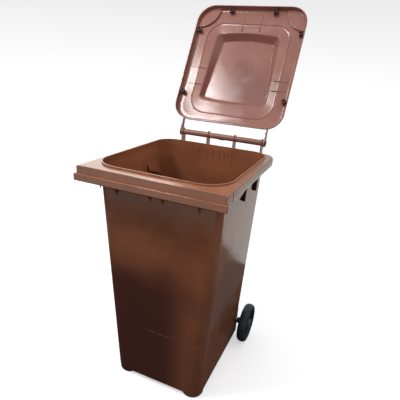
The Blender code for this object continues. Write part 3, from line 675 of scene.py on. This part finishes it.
NYLON = moulded_plastic("bush_nylon", (0.55, 0.53, 0.47), (0.70, 0.68, 0.62), 0.42, 0.10)
CHIP = moulded_plastic("chip_plastic", (0.010, 0.010, 0.011), (0.09, 0.09, 0.09), 0.42, 0.15)
TYRE = rubber("tyre_rubber")
ZINC = metal("axle_steel", (0.60, 0.60, 0.58), 0.34, (30.0, 900.0, 900.0))
SPRING = metal("spring_steel", (0.33, 0.33, 0.34), 0.30, (900.0, 60.0, 60.0))


# ---- body ----

def tub_rings(inset, floor, top, cavity=False):
    def level(height, section, reach, extra=0.0):
        half, front, rear, corner, rear_corner = section
        by = inset + extra
        points = outline(half - by, front - by, rear - by, corner - by / 2, rear_corner - by / 2)
        return at(height, points), reach

    keys = [
        level(floor, BASE, 0, extra=FLOOR_ROLL),
        level(floor, BASE, 0.010),
        level(NECK_Z, NECK, 0.012),
        level(THROAT_Z, THROAT, 0.014),
        level(MOUTH_Z, MOUTH, 0.010),
        level(top, MOUTH, 0 if cavity else 0.0016),
    ]
    if not cavity:
        keys.append(level(top, MOUTH, 0, extra=BEAD_ROUND))
    return divided(rounded(keys))


def rim_rings(front_edge=RIM_FRONT):
    def level(height, in_by, reach):
        return at(height, outline(RIM_HALF - in_by, front_edge, RIM_REAR - in_by, RIM_FRONT_CORNER,
                                  RIM_CORNER - in_by / 2)), reach

    root = outline(NECK[0] - 0.001, front_edge - 0.012, NECK[2] - 0.001, RIM_FRONT_CORNER, NECK[4] - 0.004)
    return divided(rounded([
        (at(NECK_Z, root), 0),
        level(SKIRT_Z, 0.0, 0.008),
        level(DECK_Z - 0.0010, 0.0, RIM_ROLL),
        level(DECK_Z - 0.0005, RIM_ROLL + 0.003, 0),
    ], steps=7))


def lip_plan(inset, back):
    """Plan of the lower step: its ends stand out past the upper step over a short depth only."""
    end = LOWER_HALF - inset
    side = UPPER_HALF - 0.001 - inset
    front = inset - LOWER_FRONT
    step = LIP_END_DEPTH - LOWER_FRONT - inset
    return [(-end, front), (end, front), (end, step), (side, step), (side, back), (-side, back),
            (-side, step), (-end, step)]


def lip_steps():
    upper = block("lip_upper", (-UPPER_HALF, -UPPER_FRONT, UPPER_Z - WALL),
                  (UPPER_HALF, 0.004 - RIM_FRONT, DECK_Z), UPPER_ROUND, 3)
    build(upper, [("INTERSECT", loft("deck_roll", rim_rings(UPPER_FRONT + CUT)))])
    lower = prism("lip_lower", lip_plan(0.0, 0.002 - RIM_FRONT), LOWER_Z, UPPER_Z, LOWER_ROUND)
    hollow_top = block("upper_hollow", (LIP_SKIN - UPPER_HALF, LIP_SKIN - UPPER_FRONT, UPPER_Z - CUT),
                       (UPPER_HALF - LIP_SKIN, HOLLOW_REAR, DECK_Z - WALL), 0.002)
    hollow_low = prism("lower_hollow", lip_plan(LIP_SKIN, -RIM_FRONT - WALL), LOWER_Z - CUT,
                       UPPER_Z - WALL, 0.001)
    half = RIM_HALF - DECK_MARGIN
    deck = block("deck_front", (-half, DECK_FRONT, DECK_LOW), (half, DECK_REAR, DECK_Z - 0.0006))
    return joins(deck, upper, lower) + cuts(hollow_top, hollow_low)


def end_grooves():
    """Upright joint lines on the skirt where the lip's mould inserts met."""
    return cuts(*[block(f"end_groove_{side}_{y}", (side * RIM_HALF - GROOVE_HALF, y - GROOVE_HALF, low),
                        (side * RIM_HALF + GROOVE_HALF, y + GROOVE_HALF, top))
                  for side in (-1, 1) for y, top, low in GROOVES])


def comb_webs():
    front = LIP_SKIN / 2 - LOWER_FRONT
    upper = LIP_SKIN / 2 - UPPER_FRONT
    wall = -NECK[1] + WALL / 2
    deck = DECK_Z - WALL / 2
    step = UPPER_Z - WALL / 2
    made = []
    for x, knee, lowest in COMBS:
        shape = [(front, LOWER_Z + 0.013), (-knee, LOWER_Z + 0.001), (wall, lowest), (wall, deck),
                 (upper, deck), (upper, step), (front, step)]
        made += [plate(f"comb_{side}_{x}", shape, side * x, COMB_THICK, 0.0006) for side in (-1, 1)]
    return joins(*made)


def feet():
    return joins(*[shift(lathe(f"foot_{side}", [
        (0.0, FOOT_TOP, 0), (FOOT_RADIUS, FOOT_TOP, 0), (FOOT_RADIUS, 0.0, FOOT_ROUND), (0.0, 0.0, 0)]),
        side * (BASE[0] - BASE[3]), BASE[3] - BASE[1], 0.0) for side in (-1, 1)])


def chip_socket():
    inner = CHIP_RADIUS + GAP
    outer = inner + CHIP_WALL
    ring = lathe("chip_socket", [(outer, CHIP_HEIGHT, 0), (outer, 0.0, 0.0008), (inner, 0.0, 0.0008),
                                 (inner, CHIP_HEIGHT, 0)], loop=True)
    return joins(shift(ring, 0.0, CHIP_Y, DECK_Z - WALL + 0.002 - CHIP_HEIGHT))


def handle_webs():
    rear_face = HINGE_Y + WEB_REACH
    front_face = HINGE_Y - WEB_REACH
    wall = NECK[2] - WALL / 2
    shape = [(wall, WEB_FOOT_Z), (rear_face, WEB_SHELF_Z + WEB_HEEL),
             *arc((HINGE_Y, HINGE_Z), WEB_REACH, 0, 180, 28),
             *arc((front_face - WEB_NECK, WEB_SHELF_Z + WEB_NECK), WEB_NECK, 0, -60, 5),
             (front_face - 0.016, WEB_SHELF_Z - WEB_FALL / 2), (wall, WEB_SHELF_Z - WEB_FALL)]
    webs = [plate(f"handle_web_{side}_{x}", shape, side * x, WEB_THICK, 0.0009)
            for x in WEB_X for side in (-1, 1)]
    return joins(*webs) + cuts(cross_rod("handle_bore", BAR_RADIUS + GAP, HINGE_Y, HINGE_Z))


def pocket_shape(pocket, grow):
    rear = pocket["rear"] + grow
    front = pocket["front"] - grow
    return [(front, pocket["low_front"] - grow), (rear, pocket["low_rear"] - grow),
            (rear, pocket["top_rear"] + grow), (front, pocket["top_front"] + grow)]


def pocket_wedge(name, pocket, grow, side, outer_x):
    """Pocket solid between a plane at outer_x and a back that leans further in towards the bottom."""
    top = pocket["top_rear"]
    slope = (POCKET_DEPTH - POCKET_TOP_DEPTH) / (top - pocket["low_rear"])
    shape = pocket_shape(pocket, grow)
    backs = [NECK[0] - (POCKET_TOP_DEPTH + slope * (top - z) + grow) for y, z in shape]
    return loft(name, [[(side * outer_x, y, z) for y, z in shape],
                       [(side * back, y, z) for back, (y, z) in zip(backs, shape)]])


def pockets():
    shells = []
    hollows = []
    for side in (-1, 1):
        for index, pocket in enumerate(POCKETS):
            name = f"pocket_{side}_{index}"
            shells.append(pocket_wedge(f"{name}_shell", pocket, POCKET_SKIN, side, NECK[0] - POCKET_SKIN))
            hollows.append(pocket_wedge(f"{name}_hollow", pocket, 0.0, side, NECK[0] + CUT))
    return joins(*shells) + cuts(*hollows)


def housing_shape(grow, rear, low):
    return [(RECESS_FRONT - grow, low), (rear, low), (rear, RECESS_TOP + grow),
            (BASE[2] - 0.002, RECESS_TOP + grow), (RECESS_FRONT - grow, RECESS_ROOF + grow)]


def axle_housing():
    shell = plate("axle_housing", housing_shape(WALL, BASE[2] - 0.0015, FLOOR_Z + 0.001), 0.0,
                  2 * BASE[0] - 0.004)
    inner = AXLE_WEB_X - AXLE_WEB_THICK / 2
    outer = AXLE_WEB_X + AXLE_WEB_THICK / 2
    shape = housing_shape(0.0, BASE[2] + CUT, -CUT)
    bays = [plate(f"bay_{start}", shape, (start + end) / 2, end - start, 0.0015)
            for start, end in ((-RECESS_HALF, -outer), (-inner, inner), (outer, RECESS_HALF))]
    return joins(shell) + cuts(*bays, cross_rod("axle_bore", AXLE_BORE, AXLE_Y, AXLE_Z))


def rear_wall_lines():
    """Fine upright lines left by the mould under the mouth, inside the rear wall."""
    return cuts(*[block(f"rear_line_{index}", (x - REAR_LINE_HALF, 0.270, 0.922 + 0.011 * (index % 3)),
                        (x + REAR_LINE_HALF, 0.2892, 0.974)) for index, x in enumerate(REAR_LINES)])


def corner_ledges():
    """Two short ledges across each rear corner inside the mouth."""
    corner = NECK[4]
    centre = (corner - NECK[0], NECK[2] - corner)
    made = []
    for side in (-1, 1):
        for height, start, end in LEDGES:
            edge = arc(centre, LEDGE_OUT, start, end, 8) + arc(centre, LEDGE_IN, end, start, 8)
            plan = [(-side * x, y) for x, y in edge]
            low = height - LEDGE_HALF
            made.append(prism(f"corner_ledge_{side}_{height}", plan, low, height + LEDGE_HALF))
    return joins(*made)


def make_body():
    body = loft("body_shell", tub_rings(0.0, FLOOR_Z, BEAD_TOP))
    cavity = loft("cavity", tub_rings(WALL, FLOOR_Z + WALL + 0.002, BEAD_TOP + CUT, cavity=True))
    steps = joins(loft("rim", rim_rings())) + feet() + lip_steps() + comb_webs() + chip_socket()
    steps += cuts(cavity) + handle_webs() + pockets() + axle_housing() + corner_ledges()
    steps += rear_wall_lines() + end_grooves()
    build(body, steps)
    finish_piece(shift(body, 0.0, TUB_Y, 0.0), "bin", "body_plastic", BODY, "bin_body")


# ---- handle bar and hinge pins ----

def reach_of(node_name):
    """Inner and outer distance along X, and the radius, of a turned piece on one side of the bin."""
    low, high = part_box(node_name)
    inner, outer = sorted((abs(low.x), abs(high.x)))
    return inner, outer, (high.z - low.z) / 2


def make_handle_bar():
    low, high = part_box("handle_bar")
    end = high.x
    bar = lathe("handle_bar_tube", [(BAR_RADIUS, end, 0.0010), (BAR_RADIUS, -end, 0.0010),
                                    (BAR_BORE, -end, 0.0006), (BAR_BORE, end, 0.0006)], loop=True)
    lay_along_x(bar, 1, HINGE.y, HINGE.z)
    lug = block("bar_lug", (-0.012, HINGE.y - 0.004, low.z - 0.0018),
                (0.012, HINGE.y + 0.004, low.z + 0.003), 0.001)
    finish_piece(build(bar, joins(lug)), "bin", "bar_plastic", BAR, "handle_bar")


def make_hinge_pins():
    for side, name in ((-1, "hinge_pin_left"), (1, "hinge_pin_right")):
        inner, outer, head = reach_of(name)
        pin = lathe(f"{name}_turned", [
            (0.0, outer - 0.0012, 0), (0.0055, outer - 0.0012, 0.0008), (0.0065, outer, 0.0006),
            (head, outer, 0.0012), (head, outer - 0.0030, 0.0003), (PIN_RADIUS, outer - 0.0030, 0),
            (PIN_RADIUS, inner + 0.002, 0.001), (PIN_RADIUS - 0.002, inner, 0), (0.0, inner, 0)])
        finish_piece(lay_along_x(pin, side, HINGE.y, HINGE.z), "bin", "pin_plastic", PIN, name)


# ---- lid, shaped shut round its hinge line, then swung open ----

def lid_outline(inset):
    corner = LID_CORNER - inset
    return outline(LID_HALF - inset, LID_FRONT - inset, -LID_REAR - inset, corner, corner)


def crease_outline(grow=0.0):
    half, front, rear, corner = (size + grow for size in CREASE)
    return outline(half, front, rear, corner, corner, bow=CREASE_BOW)


def well_outline(inset, level):
    half, front, rear, corner, bow, taper = level
    return outline(half - inset, front - inset, rear - inset, corner, corner, bow, taper)


def lid_face(skin):
    """Keys of one face of the lid from its edge to its middle, skin below the top face."""
    inset = skin * 0.7
    deck = LID_DECK - skin
    crown = CROWN_TOP - skin
    return [
        (at(LID_EDGE, lid_outline(skin)), 0),
        (at(deck, lid_outline(skin + 0.0031)), LID_ROLL - skin),
        (at(deck + 0.0005, lid_outline(0.030)), 0.004),
        (at(deck, crease_outline()), 0.004),
        (at(deck + 0.0015, crease_outline(-0.006)), 0.004),
        (at(deck + 0.0050, well_outline(inset, WELL_FOOT)), 0.005),
        (at(crown, well_outline(inset, WELL_TOP)), 0.005),
        (at(crown, well_outline(inset + 0.060, WELL_TOP)), 0),
    ]


def lid_shell():
    top = divided(rounded(lid_face(0.0), steps=6), 0.02)
    under = divided(rounded(lid_face(LID_SKIN), steps=6), 0.02)
    return loft("lid_shell", list(reversed(under)) + top)


def crease_groove():
    """Narrow groove pressed into the underside along the crease."""
    low = -0.010
    high = LID_DECK - LID_SKIN + CREASE_DEPTH
    rings = [at(height, crease_outline(CREASE_WIDE * share))
             for height, share in ((low, 1), (high, 0.6), (high, -0.6), (low, -1))]
    return loft("crease_groove", rings, loop=True)


def grip_limit(name, clear, reach, top, top_inset):
    """The lid's outer form, drawn in by clear."""
    return loft(name, rounded([(at(LID_EDGE - 0.0006, lid_outline(clear)), 0),
                               (at(LID_DECK - 0.0006, lid_outline(clear + 0.0012)), reach),
                               (at(top, lid_outline(clear + top_inset)), 0)], steps=6))


def grip_disc(name, side, radius, low, high, edge):
    disc = lathe(name, [(0.0, high, 0), (radius, high, 0), (radius, low, edge), (0.0, low, 0)], steps=160)
    return shift(disc, side * (LID_HALF - 0.008), 0.010 - LID_FRONT, 0.0)


def grips():
    low = LID_DECK - LID_SKIN - GRIP_DEPTH
    slabs = []
    recesses = []
    for side in (-1, 1):
        slab = grip_disc(f"grip_slab_{side}", side, GRIP_RADIUS, low, LID_DECK - 0.0005, 0.0035)
        limit = grip_limit(f"slab_limit_{side}", 0.0012, LID_ROLL, LID_DECK - 0.0001, 0.030)
        slabs.append(build(slab, [("INTERSECT", limit)]))
        recess = grip_disc(f"grip_recess_{side}", side, GRIP_RADIUS - LID_SKIN, low + LID_SKIN,
                           LID_DECK + CUT, 0.003)
        limit = grip_limit(f"recess_limit_{side}", 0.014, 0.012, LID_DECK + 2 * CUT, 0.017)
        recesses.append(build(recess, [("INTERSECT", limit)]))
    return joins(*slabs) + cuts(*recesses)


def lid_ribs():
    """Low lines moulded on the underside, across the side strips and along the front strip."""
    face = LID_DECK - LID_SKIN
    lines = [(start, end, -reach - RIB_HALF, RIB_HALF - reach) for start, end, reach in RIBS_ACROSS]
    lines += [(x - RIB_HALF, x + RIB_HALF, -end, -start) for x, start, end in RIBS_ALONG]
    return joins(*[block(f"rib_{index}", (left, front, face - RIB_DROP), (right, rear, face + 0.002), 0.0010)
                   for index, (left, right, front, rear) in enumerate(lines)])


def gate_mark():
    """Round mark left by the mould's gate in the middle of the underside."""
    face = CROWN_TOP - LID_SKIN
    root = face + 0.002
    low = face - 0.0022
    marks = [lathe("gate_dot", [(0.0, root, 0), (0.0045, root, 0), (0.0035, low, 0.0015), (0.0, low, 0)],
                   steps=40)]
    low = face - 0.0008
    for outer in GATE_RINGS:
        inner = outer - GATE_RING_WIDE
        marks.append(lathe(f"gate_ring_{outer}", [(outer, root, 0), (outer, low, 0.0006),
                                                  (inner, low, 0.0006), (inner, root, 0)], loop=True))
    return joins(*[shift(mark, 0.0, -GATE_REACH, 0.0) for mark in marks])


def arms():
    shape = [*arc((0.0, 0.0), EYE_RADIUS, -100, 100, 28), (ARM_KNEE, 0.0005), (ARM_END, -0.002),
             (ARM_END, -EYE_RADIUS), (ARM_KNEE, -EYE_RADIUS)]
    made = [plate(f"arm_{side}", shape, side * ARM_X, ARM_THICK, 0.0009) for side in (-1, 1)]
    for side in (-1, 1):
        lug = lathe(f"arm_lug_{side}", [(0.0, LUG_END_X, 0), (LUG_RADIUS, LUG_END_X, 0.0005),
                                        (LUG_RADIUS, ARM_X, 0), (0.0, ARM_X, 0)], steps=32)
        made.append(lay_along_x(lug, side, -0.045, -0.009))
    return joins(*made) + cuts(cross_rod("eye_bore", EYE_BORE, 0.0, 0.0))


def pegs():
    """Bosses with the pegs the buffers are pushed onto."""
    root = LID_DECK - LID_SKIN / 2
    shoulder = BUFFER_TOP + GAP
    return joins(*[shift(lathe(f"peg_{index}_{side}", [
        (0.0, root, 0), (BOSS_ROOT_RADIUS, root, 0), (BOSS_RADIUS, -0.0030, 0.0010),
        (BOSS_RADIUS, shoulder, 0.0008), (PEG_RADIUS, shoulder, 0.0005), (PEG_RADIUS, PEG_END, 0.0008),
        (0.0, PEG_END, 0)], steps=40), side * x, -reach, 0.0)
        for index, (x, reach) in enumerate(BUFFER_PLACES) for side in (-1, 1)])


def swing_open(item):
    """Put a piece made round the shut lid's hinge line where the open lid is."""
    item.data.transform(Matrix.Translation(HINGE) @ Matrix.Rotation(math.radians(LID_OPEN), 4, "X"))
    return item


def make_lid():
    lid = build(lid_shell(), grips() + cuts(crease_groove()) + lid_ribs() + gate_mark() + arms() + pegs())
    finish_piece(swing_open(lid), "lid", "lid_plastic", LID, "lid")


def make_buffers():
    places = [(side * x, -reach) for x, reach in BUFFER_PLACES for side in (-1, 1)]
    for number, (x, y) in enumerate(places, 1):
        buffer = lathe(f"lid_buffer_{number}_moulded", [
            (BUFFER_RADIUS, BUFFER_TOP, 0.0008), (BUFFER_RADIUS - 0.0002, BUFFER_TIP, 0.0018),
            (BUFFER_BORE, BUFFER_TIP, 0.0012), (BUFFER_BORE, BUFFER_TOP, 0.0005)], loop=True, steps=48)
        swing_open(shift(buffer, x, y, 0.0))
        finish_piece(buffer, "lid", "buffer_plastic", BUFFER, f"lid_buffer_{number}")


# ---- axle and wheels ----

def mirrored(keys, middle):
    return [(radius, 2 * middle - x, reach) for radius, x, reach in reversed(keys)]


def on_axle(item, side):
    return lay_along_x(item, side, AXLE.y, AXLE.z)


def make_axle():
    low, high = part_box("axle")
    end = high.x
    radius = (high.z - low.z) / 2
    groove_in, groove_out = reach_of("axle_snap_ring_right")[:2]
    start = groove_in - GAP
    stop = groove_out + GAP
    depth = radius - SNAP_GROOVE
    half = [(0.0, end, 0), (radius, end, 0.0012), (radius, stop, 0), (depth, stop, 0), (depth, start, 0),
            (radius, start, 0)]
    axle = lathe("axle_bar", half + mirrored(half, 0.0), steps=48)
    finish_piece(on_axle(axle, 1), "bin", "axle_steel", ZINC, "axle")


def ring_piece(node_name, ending, side, bore, edge, body, slot, material):
    """Plain ring between the CAD node's ends, with rounded edges."""
    start, end, outer = reach_of(node_name)
    ring = lathe(f"{node_name}_{ending}", [(outer, end, edge), (outer, start, edge), (bore, start, edge / 2),
                                           (bore, end, edge / 2)], loop=True, steps=56)
    finish_piece(on_axle(ring, side), body, slot, material, node_name)


def make_tyre(side, suffix):
    """Tyre with a step beside the rim, rounded shoulders and a fine line round its middle."""
    start, end, outer = reach_of(f"wheel_tyre_{suffix}")
    middle = (start + end) / 2
    half = [(TYRE_INNER, end, 0.0008), (0.0840, end, 0.0006), (0.0846, end - 0.0008, 0.0005),
            (0.0856, end - 0.0008, 0.0005), (0.0862, end, 0.0006), (0.0895, end, 0.004),
            (0.0955, end - 0.0045, 0.005), (outer - 0.0008, end - 0.0130, 0.006),
            (outer - 0.0005, middle + 0.0012, 0.0008), (outer, middle + 0.0006, 0.0004)]
    tyre = lathe(f"wheel_tyre_{suffix}_rubber", half + mirrored(half, middle), loop=True, steps=128)
    finish_piece(on_axle(tyre, side), f"wheel_{suffix}", "tyre_rubber", TYRE, f"wheel_tyre_{suffix}",
                 angle=50.0)


def make_disc(side, suffix):
    """Moulded wheel: hub, dished web, rim ring, and spokes standing on both faces of the web."""
    start, ring_out, outer = reach_of(f"wheel_disc_{suffix}")
    end = reach_of(f"wheel_bush_{suffix}")[1] + BUSH_RECESS
    ring_in = ring_out - RIM_WIDTH
    middle = (ring_in + ring_out) / 2
    web_out = middle - 0.001
    web_in = middle - 0.005
    web_hub = HUB_RADIUS + 0.0008
    disc = lathe(f"wheel_disc_{suffix}_moulded", [
        (HUB_RADIUS, end, 0.0012), (web_hub, web_out, 0.003), (WEB_OUTER, web_out, 0.003),
        (RIM_INNER, ring_out, 0.001), (outer, ring_out, 0.001), (outer, ring_in, 0.001),
        (RIM_INNER, ring_in, 0.001), (WEB_OUTER, web_in, 0.003), (web_hub, web_in, 0.003),
        (HUB_RADIUS, start, 0.0012), (HUB_BORE, start, 0.0008), (HUB_BORE, end, 0.0008)], loop=True, steps=96)
    spokes = []
    for index in range(SPOKES):
        turn = Matrix.Rotation(math.tau * index / SPOKES, 4, "Z")
        for low, high in ((middle - 0.003, middle + 0.0100), (middle - 0.0130, middle - 0.003)):
            spoke = block(f"spoke_{index}_{low}", (HUB_RADIUS - 0.002, -SPOKE_HALF, low),
                          (WEB_OUTER + 0.002, SPOKE_HALF, high), 0.0009)
            spoke.data.transform(turn)
            spokes.append(spoke)
    build(disc, joins(*spokes))
    finish_piece(on_axle(disc, side), f"wheel_{suffix}", "wheel_plastic", WHEEL, f"wheel_disc_{suffix}")


def make_hub_cap(side, suffix):
    start, end, outer = reach_of(f"hub_cap_{suffix}")
    inner = outer - CAP_SKIN
    cap = lathe(f"hub_cap_{suffix}_moulded", [
        (0.0, end - 0.0008, 0), (0.0060, end - 0.0008, 0.0005), (0.0068, end, 0.0004), (0.0140, end, 0.003),
        (0.0200, end - 0.0015, 0.002), (outer, end - 0.0048, 0.002), (outer, start, 0.0005),
        (inner, start, 0.0005), (inner, end - 0.0055, 0.001), (0.0185, end - 0.0032, 0.001),
        (0.0, end - CAP_SKIN - 0.001, 0)])
    finish_piece(on_axle(cap, side), f"wheel_{suffix}", "cap_plastic", CAP, f"hub_cap_{suffix}")


def make_wheels():
    for side, suffix in ((-1, "left"), (1, "right")):
        make_tyre(side, suffix)
        make_disc(side, suffix)
        make_hub_cap(side, suffix)
        for name, ending, bore, edge, body, slot, material in (
                ("axle_sleeve", "tube", AXLE_BORE, 0.0006, "bin", "sleeve_plastic", SLEEVE),
                ("wheel_bush", "tube", AXLE_BORE, 0.0005, f"wheel_{suffix}", "bush_nylon", NYLON),
                ("axle_washer", "plate", AXLE_BORE, 0.0003, "bin", "axle_steel", ZINC),
                ("axle_snap_ring", "sprung", SNAP_BORE, 0.0003, "bin", "spring_steel", SPRING)):
            ring_piece(f"{name}_{suffix}", ending, side, bore, edge, body, slot, material)


def make_chip_plug():
    low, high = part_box("chip_plug")
    plug = lathe("chip_plug_disc", [
        (0.0, high.z, 0), (CHIP_RADIUS, high.z, 0.0012), (CHIP_RADIUS, low.z, 0.0012),
        (0.0050, low.z, 0.0006), (0.0040, low.z + 0.0010, 0.0004), (0.0, low.z + 0.0010, 0)])
    shift(plug, 0.0, CHIP_Y + TUB_Y, 0.0)
    finish_piece(plug, "bin", "chip_plastic", CHIP, "chip_plug")


# ---- camera, lights and floor ----

def make_camera():
    yaw, pitch, roll = CAMERA_TURNS
    flat = math.cos(pitch)
    forward = Vector((-math.sin(yaw) * flat, math.cos(yaw) * flat, -math.sin(pitch)))
    level = Vector((math.cos(yaw), math.sin(yaw), 0.0))
    upright = level.cross(forward)
    right = level * math.cos(roll) + upright * math.sin(roll)
    up = upright * math.cos(roll) - level * math.sin(roll)
    data = bpy.data.cameras.new("camera")
    data.sensor_width = 36.0
    data.lens = CAMERA_LENS
    data.shift_x, data.shift_y = CAMERA_SHIFT
    data.clip_start = 0.01
    turned = Matrix((right, up, -forward)).transposed().to_4x4()
    camera = placed("camera", data)
    camera.matrix_world = Matrix.Translation(CAMERA_PLACE) @ turned
    bpy.context.scene.camera = camera


def make_key_light():
    """Soft key from the front left; the cards, not this light, give the bin its reflections."""
    data = bpy.data.lights.new("key", "AREA")
    data.shape = "RECTANGLE"
    data.size = KEY_SIZE
    data.size_y = KEY_SIZE
    data.energy = KEY_POWER
    light = placed("key", data)
    light.location = KEY_PLACE
    light.rotation_euler = (Vector(KEY_TARGET) - Vector(KEY_PLACE)).to_track_quat("-Z", "Y").to_euler()
    light.visible_glossy = False


def make_sweep():
    """Pale floor that curves up into a backdrop on all sides."""
    inner, outer, rise = 6.0, 9.0, 3.0
    profile = [(0.5, 0.0), (2.0, 0.0), (4.0, 0.0), *arc((inner, rise), rise, -90, 0, 24),
               (outer, 5.0), (outer, 8.0)]
    builder = bmesh.new()
    rows = [[builder.verts.new((radius * math.cos(turn), radius * math.sin(turn), height - 0.0004))
             for turn in np.linspace(0, math.tau, 97)[:-1]] for radius, height in profile]
    skin_rows(builder, rows)
    builder.faces.new(rows[0])
    sweep = mesh_object("floor_sweep", builder)
    sweep.data.shade_smooth()
    finish = surface("pale_floor", specular=0.1)[0]
    inputs = finish.node_tree.nodes["Principled BSDF"].inputs
    for name, value in (("Base Color", (0.80, 0.80, 0.80, 1.0)), ("Roughness", 0.8),
                        ("Emission Color", (1.0, 1.0, 1.0, 1.0)), ("Emission Strength", FLOOR_GLOW)):
        inputs[name].default_value = value
    sweep.data.materials.append(finish)
    sweep.visible_diffuse = sweep.visible_glossy = sweep.visible_shadow = False


def card(name, corners, colour, strength, fade=None, shades=False):
    """Flat studio card that the camera doesn't see: the bin reflects it, or it shades the bin too.

    fade gives two depths along Y, in the tub's frame, between which its glow grows from nothing.
    """
    builder = bmesh.new()
    builder.faces.new([builder.verts.new((x, y + TUB_Y, z)) for x, y, z in corners])
    item = mesh_object(name, builder)
    made = bpy.data.materials.new(name)
    made.use_nodes = True
    tree = made.node_tree
    tree.nodes.clear()
    glow = node(tree, "ShaderNodeEmission", Color=(*colour, 1.0), Strength=strength)
    if fade:
        depth = split(tree, node(tree, "ShaderNodeTexCoord").outputs["Object"])["Y"]
        growing = ramp(tree, depth, fade[0] + TUB_Y, fade[1] + TUB_Y, 0.0, strength)
        tree.links.new(growing, glow.inputs["Strength"])
    output = node(tree, "ShaderNodeOutputMaterial")
    tree.links.new(glow.outputs[0], output.inputs["Surface"])
    item.data.materials.append(made)
    item.visible_camera = False
    item.visible_diffuse = shades
    item.visible_shadow = shades


def make_cards():
    lower_edge = ((-2.4, 0.0), (0.45, -0.02), (0.62, 0.13), (1.4, 0.80), (2.6, 1.3), (2.6, 2.0), (-2.4, 2.0))
    card("rear_wall_card", [(x, 1.04, z) for x, z in lower_edge], (0.94, 0.98, 0.95), WALL_GLOW)
    card("rear_left_card", [(x, 1.02, z) for x, z in ((-3.4, 1.0), (-0.25, 1.0), (-0.25, 2.6), (-3.4, 2.6))],
         (1.0, 1.0, 0.98), SIDE_GLOW)
    card("glint_card", [(-1.785, -1.063, 3.632), (-1.415, -1.037, 3.868), (-1.015, -1.737, 3.318),
                        (-1.385, -1.763, 3.082)], (1.0, 1.0, 1.0), GLINT_GLOW)
    card("far_floor_card", [(x, y, 0.0) for x, y in (
        (-6.0, -6.0), (3.0, -6.0), (3.0, FAR_START), (-6.0, FAR_START))],
         (1.0, 0.98, 0.96), FAR_GLOW, (FAR_START, FAR_FULL))
    rim = arc((0.0, 0.0), MAT_RADIUS, 0, 360, 48)[:-1]
    card("dark_mat", [(min(MAT_RIGHT, x), y, -0.004) for x, y in rim], (0.042, 0.030, 0.027), 1.0,
         shades=True)


def make_world():
    """Pale sky, brighter overhead, over mid-grey ground, as outdoors on an overcast day."""
    world = bpy.data.worlds.new("studio")
    bpy.context.scene.world = world
    world.use_nodes = True
    tree = world.node_tree
    background = tree.nodes["Background"]
    direction = node(tree, "ShaderNodeTexCoord").outputs["Generated"]
    height = split(tree, direction)["Z"]
    sky = mix(tree, ramp(tree, height, 0.0, 1.0), (*SKY_LOW, 1.0), (*SKY_HIGH, 1.0))
    colour = mix(tree, ramp(tree, height, -0.08, 0.04), (*GROUND, 1.0), sky)
    tree.links.new(colour, background.inputs["Color"])
    background.inputs["Strength"].default_value = 1.0


make_body()
make_handle_bar()
make_hinge_pins()
make_lid()
make_buffers()
make_axle()
make_wheels()
make_chip_plug()
make_camera()
make_sweep()
make_cards()
make_world()
make_key_light()
bpy.context.scene.view_settings.view_transform = "Standard"
